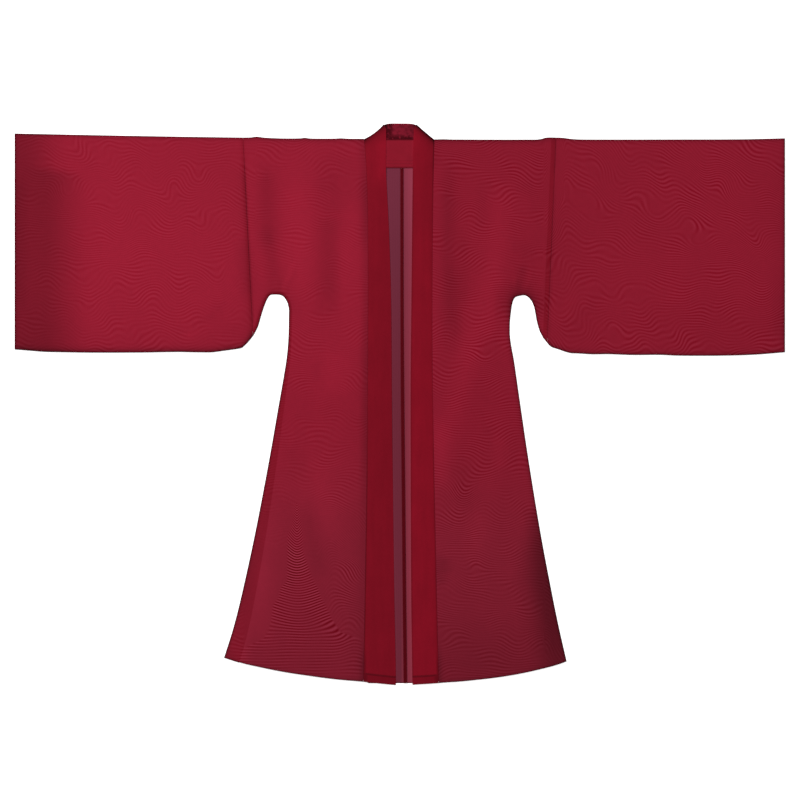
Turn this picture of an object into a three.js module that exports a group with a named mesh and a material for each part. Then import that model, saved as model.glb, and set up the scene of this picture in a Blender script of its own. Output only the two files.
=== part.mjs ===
import * as THREE from "three";

// A wide-sleeve open-front shirt of thin cloth, laid flat and face up. Millimetres, +Z up.
// The origin is on the surface under the middle of the outline. +X runs towards the wearer's
// left cuff and +Y towards the neck. Each half of the body is one cloth, folded over the
// shoulder. Each sleeve is one cloth, folded along its top and sewn along its bottom. A long
// doubled band borders both front edges and stands up behind the neck.

// Driving sizes
const CLOTH = 1;
const BAND_THICKNESS = 2;
const SEAM_GAP = 0.3;
const LAYER_GAP = 1.6;
const CUFF_OUT = 962;
const NECK_TOP = 700;
const HEM_LOW = -700;
const UNDERARM_FOOT = 235;
const NECK_OUT = 85;
const NECK_SEAM_UP = 662;
const NECKLINE_UP = 659.7;
const BACK_HEM_SHORTER = 4;
const FACING_DEPTH = 70;
const FACING_HALF_WIDTH = 83;
const BACK_SEAM_WIDTH = 9;
const SEAM_ALLOWANCE = 8;
const SIDE_TURN_IN = 40;
const SIDE_TURN_IN_TOP = 150;
const SIDE_STRIP_STEPS = 18;
const STRIP_INSET = 1;

// Soft folds of the upper layer
const MOST_LIFT = 2;
const EDGE_FADE = 55;
const EDGE_STEP = 8;

const FRONT_UNDER = CLOTH + LAYER_GAP;
const FOLD_RADIUS = (FRONT_UNDER + CLOTH) / 2;

const CLOTH_RED = new THREE.MeshStandardMaterial({ color: 0x911c2f, roughness: 0.75, metalness: 0 });
const BAND_RED = new THREE.MeshStandardMaterial({ color: 0x79131f, roughness: 0.8, metalness: 0 });
const FACING_RED = new THREE.MeshStandardMaterial({ color: 0x861a2a, roughness: 0.8, metalness: 0 });
const SEAM_RED = new THREE.MeshStandardMaterial({ color: 0x5c0c18, roughness: 0.85, metalness: 0 });

// The edges of each half, in the order in which a tape would follow them. "out" is the distance
// from the middle line towards that half's cuff, and "up" is the height towards the neck.
const HALVES = {
  right: {
    sign: -1,
    shoulder: [
      { out: NECK_OUT, up: 661.5 }, { out: 240, up: 664 }, { out: 392, up: 665.5 },
      { out: 620, up: 668 }, { out: CUFF_OUT, up: 674 },
    ],
    sleeveBottom: [
      { out: 370, up: 170 }, { out: 382, up: 155 }, { out: 400, up: 145 },
      { out: 440, up: 136 }, { out: 520, up: 131.5 }, { out: 740, up: 131 },
      { out: 865, up: 132.5 }, { out: CUFF_OUT, up: 137 },
    ],
    underarm: [
      { out: 277.5, up: UNDERARM_FOOT }, { out: 280.5, up: 256 }, { out: 289, up: 268.5 },
      { out: 305, up: 276 }, { out: 323, up: 271 }, { out: 336, up: 256 },
      { out: 344.5, up: 236 }, { out: 350.5, up: 214 }, { out: 358, up: 192 }, { out: 370, up: 170 },
    ],
    side: [
      { up: -637, out: 440 }, { up: -565, out: 418 }, { up: -485, out: 397 },
      { up: -325, out: 362 }, { up: -145, out: 327.5 }, { up: -5, out: 303 },
      { up: 75, out: 289.5 }, { up: 120, out: 282.5 }, { up: 165, out: 279 }, { up: UNDERARM_FOOT, out: 277.5 },
    ],
    hem: { start: 20, corner: 440, rise: 65, power: 1.6 },
    bandSeam: [
      { up: HEM_LOW, out: 91.5 }, { up: -468, out: 87.5 }, { up: -132, out: 82.5 },
      { up: 260, out: 80 }, { up: 480, out: 81 }, { up: 575, out: 83.5 }, { up: NECK_SEAM_UP, out: NECK_OUT },
    ],
    bandFree: [
      { up: HEM_LOW, out: 10.5 }, { up: -468, out: 14 }, { up: -40, out: 19.5 },
      { up: 205, out: 20 }, { up: 378, out: 22.5 }, { up: 520, out: 31 },
      { up: 590, out: 37 }, { up: NECK_TOP, out: 35 },
    ],
    armholeTop: 392,
    armholeFoot: { out: 370, up: 170 },
    bandTop: { out: 35, up: NECK_TOP },
  },
  left: {
    sign: 1,
    shoulder: [
      { out: NECK_OUT, up: 661.5 }, { out: 240, up: 660.5 }, { out: 340, up: 661 },
      { out: 390, up: 665 }, { out: 440, up: 661.5 }, { out: 700, up: 661 }, { out: CUFF_OUT, up: 662 },
    ],
    sleeveBottom: [
      { out: 371, up: 153 }, { out: 382, up: 143.5 }, { out: 402, up: 134.5 },
      { out: 430, up: 128 }, { out: 480, up: 124.5 }, { out: 580, up: 122.5 },
      { out: 800, up: 122.5 }, { out: 885, up: 125 }, { out: CUFF_OUT, up: 131 },
    ],
    underarm: [
      { out: 275, up: UNDERARM_FOOT }, { out: 279, up: 255 }, { out: 287, up: 266 },
      { out: 301, up: 271 }, { out: 317, up: 267.5 }, { out: 329, up: 254 },
      { out: 337, up: 234 }, { out: 341.5, up: 212 }, { out: 350, up: 180 }, { out: 371, up: 153 },
    ],
    side: [
      { up: -640, out: 415 }, { up: -485, out: 380 }, { up: -325, out: 350 },
      { up: -145, out: 320 }, { up: -5, out: 300 }, { up: 75, out: 288 },
      { up: 120, out: 280 }, { up: 165, out: 273.5 }, { up: UNDERARM_FOOT, out: 275 },
    ],
    hem: { start: 30, corner: 415, rise: 60, power: 2.2 },
    bandSeam: [
      { up: HEM_LOW, out: 97 }, { up: -468, out: 91.5 }, { up: 10, out: 82 },
      { up: 260, out: 80.5 }, { up: 510, out: 82.5 }, { up: 590, out: 84 }, { up: NECK_SEAM_UP, out: NECK_OUT },
    ],
    bandFree: [
      { up: HEM_LOW, out: 31 }, { up: -468, out: 28 }, { up: 10, out: 26.5 },
      { up: 260, out: 28.5 }, { up: 590, out: 32 }, { up: 640, out: 34 }, { up: NECK_TOP, out: 39 },
    ],
    armholeTop: 390,
    armholeFoot: { out: 371, up: 153 },
    bandTop: { out: 39, up: NECK_TOP },
  },
};

// The largest soft folds of the upper layer: a crest from one end to the other, its half width
// and its height. x is across the garment and y is along it.
const FOLDS = [
  { x0: -355, y0: 600, x1: -342, y1: 330, half: 17, height: 1.2 },
  { x0: -222, y0: 600, x1: -214, y1: 180, half: 22, height: 2.0 },
  { x0: -106, y0: 520, x1: -102, y1: 40, half: 15, height: 1.3 },
  { x0: -276, y0: -20, x1: -190, y1: -400, half: 22, height: 1.8 },
  { x0: -170, y0: 60, x1: -130, y1: -300, half: 20, height: 1.2 },
  { x0: -330, y0: -330, x1: -372, y1: -640, half: 20, height: 1.3 },
  { x0: -220, y0: -380, x1: -250, y1: -690, half: 26, height: 1.3 },
  { x0: 118, y0: 600, x1: 126, y1: 170, half: 13, height: 1.5 },
  { x0: 300, y0: 500, x1: 140, y1: -70, half: 24, height: 2.0 },
  { x0: 205, y0: 560, x1: 190, y1: 330, half: 18, height: 1.0 },
  { x0: 262, y0: -90, x1: 205, y1: -430, half: 22, height: 1.6 },
  { x0: 140, y0: -250, x1: 150, y1: -690, half: 22, height: 1.5 },
  { x0: 330, y0: -330, x1: 352, y1: -650, half: 20, height: 1.6 },
  { x0: -400, y0: 185, x1: -480, y1: 270, half: 18, height: 1.2 },
  { x0: -820, y0: 560, x1: -835, y1: 210, half: 26, height: 1.2 },
  { x0: -600, y0: 590, x1: -560, y1: 300, half: 30, height: 0.9 },
  { x0: 405, y0: 190, x1: 500, y1: 300, half: 20, height: 1.2 },
  { x0: 700, y0: 580, x1: 715, y1: 250, half: 28, height: 1.2 },
  { x0: 860, y0: 560, x1: 880, y1: 200, half: 24, height: 0.9 },
];

const lerp = THREE.MathUtils.lerp;

// A smooth function through a table's rows, from the column "from" to the column "to".
function through(rows, from, to) {
  const sorted = [...rows].sort((a, b) => a[from] - b[from]);
  const x = sorted.map((row) => row[from]);
  const y = sorted.map((row) => row[to]);
  const last = x.length - 1;
  const slope = x.map((_, i) => {
    const a = Math.max(i - 1, 0);
    const b = Math.min(i + 1, last);
    return (y[b] - y[a]) / (x[b] - x[a]);
  });
  return (value) => {
    const at = THREE.MathUtils.clamp(value, x[0], x[last]);
    let i = 0;
    while (i < last - 1 && at > x[i + 1]) i += 1;
    const step = x[i + 1] - x[i];
    const t = (at - x[i]) / step;
    const rising = t * t * (3 - 2 * t);
    const leaving = t * (1 - t) * (1 - t) * step * slope[i];
    const arriving = t * t * (t - 1) * step * slope[i + 1];
    return lerp(y[i], y[i + 1], rising) + leaving + arriving;
  };
}

// The middle line of the back, where its two halves are sewn together.
const BACK_SEAM_ROUTE = [{ up: HEM_LOW, out: 10 }, { up: -100, out: 5 }, { up: NECKLINE_UP, out: 4 }];
const backSeam = through(BACK_SEAM_ROUTE, "up", "out");

for (const half of Object.values(HALVES)) {
  half.shoulderUp = through(half.shoulder, "out", "up");
  half.sleeveBottomUp = through(half.sleeveBottom, "out", "up");
  half.sideOut = through(half.side, "up", "out");
  half.bandSeamOut = through(half.bandSeam, "up", "out");
  half.bandFreeOut = through(half.bandFree, "up", "out");
  half.hemUp = (out) => {
    const share = Math.max(0, (out - half.hem.start) / (half.hem.corner - half.hem.start));
    return HEM_LOW + half.hem.rise * share ** half.hem.power;
  };
}

// Points along the sewn and folded edges, where the two layers stay close together.
const CLOSED_EDGES = Object.values(HALVES).flatMap((half) => {
  const point = (out, up) => new THREE.Vector2(half.sign * out, up);
  const points = half.underarm.map((row) => point(row.out, row.up));
  const every = (from, to, place) => {
    for (let at = from; at <= to; at += EDGE_STEP) points.push(place(at));
  };
  every(NECK_OUT, CUFF_OUT, (out) => point(out, half.shoulderUp(out)));
  every(half.armholeFoot.out, CUFF_OUT, (out) => point(out, half.sleeveBottomUp(out)));
  every(half.side[0].up, UNDERARM_FOOT, (up) => point(half.sideOut(up), up));
  return points;
});

// How far the upper layer is lifted at a place, by its folds.
function lift(x, y) {
  let height = 0;
  for (const fold of FOLDS) {
    const from = new THREE.Vector3(fold.x0, fold.y0, 0);
    const line = new THREE.Line3(from, new THREE.Vector3(fold.x1, fold.y1, 0));
    const place = new THREE.Vector3(x, y, 0);
    const off = line.closestPointToPoint(place, true, new THREE.Vector3()).distanceTo(place);
    height = Math.max(height, fold.height * Math.exp(-((off / fold.half) ** 2) / 2));
  }
  const here = new THREE.Vector2(x, y);
  const edge = Math.min(...CLOSED_EDGES.map((point) => point.distanceTo(here)));
  return Math.min(height, MOST_LIFT) * THREE.MathUtils.smoothstep(edge, 0, EDGE_FADE);
}

// One closed wall from two grids of points, its outer and its inner face. Cells for which
// present() is false are left open, and every edge of what is there is closed. In a ring, the
// last row joins the first.
function wall(outer, inner, { mirrored, ring = false, present = () => true }) {
  const rows = outer.length;
  const columns = outer[0].length;
  const cellRows = ring ? rows : rows - 1;
  const positions = [...outer, ...inner].flat().flatMap((p) => [p.x, p.y, p.z]);
  const index = [];
  const outerAt = (i, j) => (i % rows) * columns + j;
  const innerAt = (i, j) => rows * columns + outerAt(i, j);
  const there = (i, j) => {
    if (j < 0 || j >= columns - 1) return false;
    if (ring) return true;
    return i >= 0 && i < cellRows && present(i, j);
  };
  const quad = (a, b, c, d) => {
    if (mirrored) index.push(a, c, b, a, d, c);
    else index.push(a, b, c, a, c, d);
  };
  for (let i = 0; i < cellRows; i += 1) {
    for (let j = 0; j < columns - 1; j += 1) {
      if (!there(i, j)) continue;
      const side = (a, b) => quad(outerAt(...a), outerAt(...b), innerAt(...b), innerAt(...a));
      const corners = [[i, j], [i + 1, j], [i + 1, j + 1], [i, j + 1]];
      quad(...corners.map((corner) => outerAt(...corner)));
      quad(...corners.map((corner) => innerAt(...corner)).reverse());
      if (!there(i - 1, j)) side(corners[0], corners[3]);
      if (!there(i + 1, j)) side(corners[2], corners[1]);
      if (!there(i, j - 1)) side(corners[1], corners[0]);
      if (!there(i, j + 1)) side(corners[3], corners[2]);
    }
  }
  const geometry = new THREE.BufferGeometry();
  geometry.setAttribute("position", new THREE.Float32BufferAttribute(positions, 3));
  geometry.setIndex(index);
  geometry.computeVertexNormals();
  return geometry;
}

// Evenly spaced shares from 0 to 1.
const shares = (count) => Array.from({ length: count + 1 }, (_, i) => i / count);

// The heights of the outer and inner faces of the lower layer, and of the upper one at a place.
const BACK_HEIGHTS = { outer: 0, inner: CLOTH };

function frontHeights(x, y) {
  const under = FRONT_UNDER + lift(x, y);
  return { outer: under + CLOTH, inner: under };
}

// The outer and inner points where a cloth turns over a straight fold. centre is the plan point
// one radius inside the fold, ahead points out of it, and turn runs from 0 (below) to 1 (above).
function turned(centre, ahead, turn, radius, thickness) {
  const angle = (turn - 0.5) * Math.PI;
  const at = (r) =>
    new THREE.Vector3(
      centre.x + ahead.x * r * Math.cos(angle),
      centre.y + ahead.y * r * Math.cos(angle),
      radius + r * Math.sin(angle),
    );
  return { outer: at(radius), inner: at(radius - thickness) };
}

const NECK_COLUMNS = 2;
const MAIN_COLUMNS = 11;
const FOLD_STEPS = 4;
const BACK_ROWS = { skirt: 9, chest: 5 };
const FRONT_ROWS = { skirt: 17, chest: 9 };
const STUB_TOP_SHARE = 0.12;

// Half of the body: back and front in one cloth. Its rows run up the back from the hem, over
// the shoulder and down the front, and its columns run from the middle to the armhole.
function bodyHalf(half) {
  const stubColumns = half.underarm.length - 1;
  const columns = [
    ...shares(NECK_COLUMNS).slice(0, -1).map((t) => ({ part: "neck", t })),
    ...shares(MAIN_COLUMNS).map((t) => ({ part: "main", t })),
    ...shares(stubColumns).slice(1).map((t, k) => ({ part: "stub", t, foot: half.underarm[k + 1] })),
  ];
  const rows = [
    ...shares(BACK_ROWS.skirt).slice(0, -1).map((r) => ({ layer: "back", block: "skirt", r })),
    ...shares(BACK_ROWS.chest).map((r) => ({ layer: "back", block: "chest", r })),
    ...shares(FOLD_STEPS).slice(1, -1).map((r) => ({ layer: "fold", block: "chest", r: 1, turn: r })),
    ...shares(FRONT_ROWS.chest).map((r) => ({ layer: "front", block: "chest", r: 1 - r })),
    ...shares(FRONT_ROWS.skirt).slice(1).map((r) => ({ layer: "front", block: "skirt", r: 1 - r })),
  ];
  const sideLineTop = lerp(half.underarm[0].out, half.armholeTop, STUB_TOP_SHARE);
  const seamOut = (up) => half.bandSeamOut(up) + SEAM_GAP;
  const middleOut = (up) => half.sign * backSeam(up) + SEAM_GAP / 2;

  function plan(row, column) {
    const across = (up, sideOut) => {
      if (column.part === "neck") return lerp(middleOut(up), seamOut(up), column.t);
      return lerp(seamOut(up), sideOut, column.t);
    };
    if (row.block === "skirt") {
      const hemShorter = row.layer === "back" ? BACK_HEM_SHORTER : 0;
      const hemOut = across(HEM_LOW, half.sideOut(half.side[0].up));
      const hem = half.hemUp(hemOut) + hemShorter * (column.part === "main" ? 1 - column.t : 1);
      const up = lerp(hem, UNDERARM_FOOT, row.r);
      return { out: across(up, half.sideOut(up)), up };
    }
    if (column.part === "stub") {
      const topOut = lerp(sideLineTop, half.armholeTop, column.t);
      const topUp = half.shoulderUp(topOut) - FOLD_RADIUS;
      return { out: lerp(column.foot.out, topOut, row.r), up: lerp(column.foot.up, topUp, row.r) };
    }
    const topOut = across(NECKLINE_UP, sideLineTop);
    const topUp = column.part === "neck" ? NECKLINE_UP : half.shoulderUp(topOut) - FOLD_RADIUS;
    const up = lerp(UNDERARM_FOOT, topUp, row.r);
    return { out: across(up, lerp(half.underarm[0].out, sideLineTop, row.r)), up };
  }

  const outer = [];
  const inner = [];
  for (const row of rows) {
    const places = columns.map((column) => plan(row, column));
    const faces = places.map(({ out, up }) => {
      const x = half.sign * out;
      if (row.layer === "fold") {
        return turned(new THREE.Vector2(x, up), new THREE.Vector2(0, 1), row.turn, FOLD_RADIUS, CLOTH);
      }
      const z = row.layer === "back" ? BACK_HEIGHTS : frontHeights(x, up);
      return { outer: new THREE.Vector3(x, up, z.outer), inner: new THREE.Vector3(x, up, z.inner) };
    });
    outer.push(faces.map((face) => face.outer));
    inner.push(faces.map((face) => face.inner));
  }

  const present = (i, j) => {
    const below = rows[i];
    const above = rows[i + 1];
    const skirt = below.block === "skirt" || above.block === "skirt";
    const back = below.layer === "back" && above.layer === "back";
    if (columns[j].part === "neck") return back;
    const stub = columns[j + 1].part === "stub";
    return !(stub && skirt);
  };
  return wall(outer, inner, { mirrored: half.sign < 0, present });
}

const SLEEVE_PANEL_ROWS = 9;
const SLEEVE_STATIONS = [0, 0.02, 0.045, 0.08, 0.13, 0.2, 0.28, 0.36, 0.45, 0.54, 0.63, 0.72, 0.81, 0.9, 1];

// A sleeve: one cloth, folded along the top and sewn along the bottom into a flat tube. Its
// rows run round the tube and its columns run from the armhole to the cuff.
function sleeve(half) {
  const foot = half.armholeFoot;
  const ring = [
    ...shares(SLEEVE_PANEL_ROWS).map((r) => ({ layer: "back", r })),
    ...shares(FOLD_STEPS).slice(1, -1).map((turn) => ({ layer: "top", r: 1, turn })),
    ...shares(SLEEVE_PANEL_ROWS).map((r) => ({ layer: "front", r: 1 - r })),
    ...shares(FOLD_STEPS).slice(1, -1).map((turn) => ({ layer: "bottom", r: 0, turn: 1 - turn })),
  ];
  const outer = [];
  const inner = [];
  for (const row of ring) {
    const faces = SLEEVE_STATIONS.map((station) => {
      const armhole = lerp(foot.out, half.armholeTop, row.r) + SEAM_GAP;
      const out = lerp(armhole, CUFF_OUT, station);
      const low = half.sleeveBottomUp(out) + FOLD_RADIUS;
      const high = half.shoulderUp(out) - FOLD_RADIUS;
      const up = lerp(low, high, row.r);
      const x = half.sign * out;
      if (row.turn !== undefined) {
        const ahead = new THREE.Vector2(0, row.layer === "top" ? 1 : -1);
        return turned(new THREE.Vector2(x, up), ahead, row.turn, FOLD_RADIUS, CLOTH);
      }
      const z = row.layer === "back" ? BACK_HEIGHTS : frontHeights(x, up);
      return { outer: new THREE.Vector3(x, up, z.outer), inner: new THREE.Vector3(x, up, z.inner) };
    });
    outer.push(faces.map((face) => face.outer));
    inner.push(faces.map((face) => face.inner));
  }
  return wall(outer, inner, { mirrored: half.sign < 0, ring: true });
}

const BAND_COLUMNS = 3;
const BAND_FOLD_RADIUS = (FRONT_UNDER + BAND_THICKNESS) / 2;
const BAND_BACK_STEPS = 6;

// The band: one doubled strip. Its rows run up the wearer's right front, turn over a slanting
// fold beside the neck, cross behind the neck and come down the left front. Its columns run
// from the edge that is sewn to the body to the free edge.
function band() {
  const outer = [];
  const inner = [];
  const add = (faces) => {
    outer.push(faces.map((face) => face.outer));
    inner.push(faces.map((face) => face.inner));
  };
  const columns = shares(BAND_COLUMNS);

  // The slanting fold beside the neck, in plan.
  const foldOf = (half) => {
    const seam = new THREE.Vector2(half.sign * NECK_OUT, NECK_SEAM_UP);
    const free = new THREE.Vector2(half.sign * half.bandTop.out, half.bandTop.up);
    const along = free.clone().sub(seam).normalize();
    const ahead = new THREE.Vector2(-along.y * -half.sign, along.x * -half.sign);
    const centre = (w) => seam.clone().lerp(free, w).addScaledVector(ahead, -BAND_FOLD_RADIUS);
    return { ahead, centre };
  };

  const frontRows = (half) => {
    const fold = foldOf(half);
    const rows = [
      ...shares(FRONT_ROWS.skirt).slice(0, -1).map((r) => ({ block: "skirt", r })),
      ...shares(FRONT_ROWS.chest).map((r) => ({ block: "chest", r })),
    ];
    return rows.map(({ block, r }) =>
      columns.map((w) => {
        const hemOut = lerp(half.bandSeamOut(HEM_LOW), half.bandFreeOut(HEM_LOW), w);
        const top = fold.centre(w);
        const onSkirt = block === "skirt";
        const up = onSkirt ? lerp(half.hemUp(hemOut), UNDERARM_FOOT, r) : lerp(UNDERARM_FOOT, top.y, r);
        const topReached = !onSkirt && r === 1;
        const out = lerp(half.bandSeamOut(up), half.bandFreeOut(up), w);
        const x = topReached ? top.x : half.sign * out;
        const under = frontHeights(x, up).inner;
        const at = (z) => new THREE.Vector3(x, up, z);
        return { outer: at(under + BAND_THICKNESS), inner: at(under) };
      }),
    );
  };

  const foldRows = (half) => {
    const fold = foldOf(half);
    return shares(FOLD_STEPS).slice(1, -1).map((turn) =>
      columns.map((w) => turned(fold.centre(w), fold.ahead, 1 - turn, BAND_FOLD_RADIUS, BAND_THICKNESS)),
    );
  };

  const { right, left } = HALVES;
  frontRows(right).forEach(add);
  foldRows(right).forEach(add);
  for (const k of shares(BAND_BACK_STEPS)) {
    add(columns.map((w) => {
      const place = foldOf(right).centre(w).lerp(foldOf(left).centre(w), k);
      const at = (z) => new THREE.Vector3(place.x, place.y, z);
      return { outer: at(0), inner: at(BAND_THICKNESS) };
    }));
  }
  foldRows(left).reverse().forEach(add);
  frontRows(left).reverse().forEach(add);
  return wall(outer, inner, { mirrored: true });
}

// A flat strip of cloth that lies on the back's inner face, between two edges of its plan.
function strip(edgeA, edgeB, mirrored) {
  const low = CLOTH + SEAM_GAP;
  const at = (point, z) => new THREE.Vector3(point.x, point.y, z);
  const top = edgeA.map((a, i) => [at(a, low + CLOTH), at(edgeB[i], low + CLOTH)]);
  const bottom = edgeA.map((a, i) => [at(a, low), at(edgeB[i], low)]);
  return wall(top, bottom, { mirrored });
}

const BACK_SEAM_STEPS = 14;

// The allowances of the middle back seam, pressed to lie over it.
function backSeamStrip() {
  const top = NECKLINE_UP - SEAM_GAP - FACING_DEPTH - SEAM_GAP;
  const bottom = HEM_LOW + BACK_HEM_SHORTER;
  const ups = shares(BACK_SEAM_STEPS).map((t) => lerp(bottom, top, t));
  const edge = (offset) => ups.map((up) => new THREE.Vector2(backSeam(up) + offset, up));
  return strip(edge(-BACK_SEAM_WIDTH / 2), edge(BACK_SEAM_WIDTH / 2), true);
}

// The facing inside the back of the neck.
function neckFacing() {
  const top = NECKLINE_UP - SEAM_GAP;
  const shape = new THREE.Shape();
  shape.moveTo(-FACING_HALF_WIDTH, top - FACING_DEPTH);
  shape.lineTo(FACING_HALF_WIDTH, top - FACING_DEPTH);
  shape.lineTo(FACING_HALF_WIDTH, top);
  shape.lineTo(-FACING_HALF_WIDTH, top);
  shape.closePath();
  const geometry = new THREE.ExtrudeGeometry(shape, { depth: CLOTH, bevelEnabled: false });
  return geometry.translate(0, 0, CLOTH + SEAM_GAP);
}

// The allowances of the side and underarm seam, turned in between the two layers. They are
// narrow round the underarm and widen down the flared side to the hem.
function sideSeamStrip(half) {
  const start = half.side[0].up + BACK_HEM_SHORTER;
  const sideUps = shares(SIDE_STRIP_STEPS).map((t) => lerp(start, UNDERARM_FOOT, t)).slice(0, -1);
  const edge = [
    ...sideUps.map((up) => new THREE.Vector2(half.sideOut(up), up)),
    ...half.underarm.slice(0, -1).map((row) => new THREE.Vector2(row.out, row.up)),
  ];
  const inward = edge.map((_, i) => {
    const a = edge[Math.max(i - 1, 0)];
    const b = edge[Math.min(i + 1, edge.length - 1)];
    const along = b.clone().sub(a).normalize();
    return new THREE.Vector2(-along.y, along.x);
  });
  const widthAt = (up) => {
    const share = THREE.MathUtils.clamp((SIDE_TURN_IN_TOP - up) / (SIDE_TURN_IN_TOP - start), 0, 1);
    return lerp(SEAM_ALLOWANCE, SIDE_TURN_IN, share);
  };
  const inset = (i, by) => {
    const place = edge[i].clone().addScaledVector(inward[i], by);
    return new THREE.Vector2(half.sign * place.x, place.y);
  };
  const outerEdge = edge.map((_, i) => inset(i, STRIP_INSET));
  const innerEdge = edge.map((point, i) => inset(i, widthAt(point.y)));
  return strip(outerEdge, innerEdge, half.sign < 0);
}

const shirt = new THREE.Group();

function addPiece(name, geometry, material) {
  const mesh = new THREE.Mesh(geometry, material);
  mesh.name = name;
  shirt.add(mesh);
}

for (const [name, half] of Object.entries(HALVES)) {
  addPiece(`body_${name}`, bodyHalf(half), CLOTH_RED);
  addPiece(`sleeve_${name}`, sleeve(half), CLOTH_RED);
  addPiece(`side_seam_${name}`, sideSeamStrip(half), SEAM_RED);
}
addPiece("collar_band", band(), BAND_RED);
addPiece("neck_facing", neckFacing(), FACING_RED);
addPiece("back_seam", backSeamStrip(), SEAM_RED);

export default shirt;
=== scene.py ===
import math

import bmesh
import bpy
import numpy as np
from mathutils import Matrix, Vector
from mathutils.bvhtree import BVHTree


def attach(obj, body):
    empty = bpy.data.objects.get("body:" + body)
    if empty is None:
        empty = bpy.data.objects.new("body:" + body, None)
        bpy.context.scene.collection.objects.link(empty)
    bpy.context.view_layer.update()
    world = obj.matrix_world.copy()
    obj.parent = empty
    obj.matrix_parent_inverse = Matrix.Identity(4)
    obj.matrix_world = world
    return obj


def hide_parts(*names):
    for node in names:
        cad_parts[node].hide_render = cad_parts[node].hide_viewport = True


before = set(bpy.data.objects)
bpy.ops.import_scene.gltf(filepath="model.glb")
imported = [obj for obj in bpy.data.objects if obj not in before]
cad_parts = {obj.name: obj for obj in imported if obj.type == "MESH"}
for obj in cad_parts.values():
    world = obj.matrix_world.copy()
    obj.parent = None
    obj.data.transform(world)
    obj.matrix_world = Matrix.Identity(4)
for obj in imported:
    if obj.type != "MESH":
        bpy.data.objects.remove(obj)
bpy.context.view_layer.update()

# The two halves of the body.
# Each is one length of sheer plain-woven cloth, folded over the shoulder: the back panel runs to
# the seam down the middle of the back, and the front panel to the seam of the band.

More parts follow.
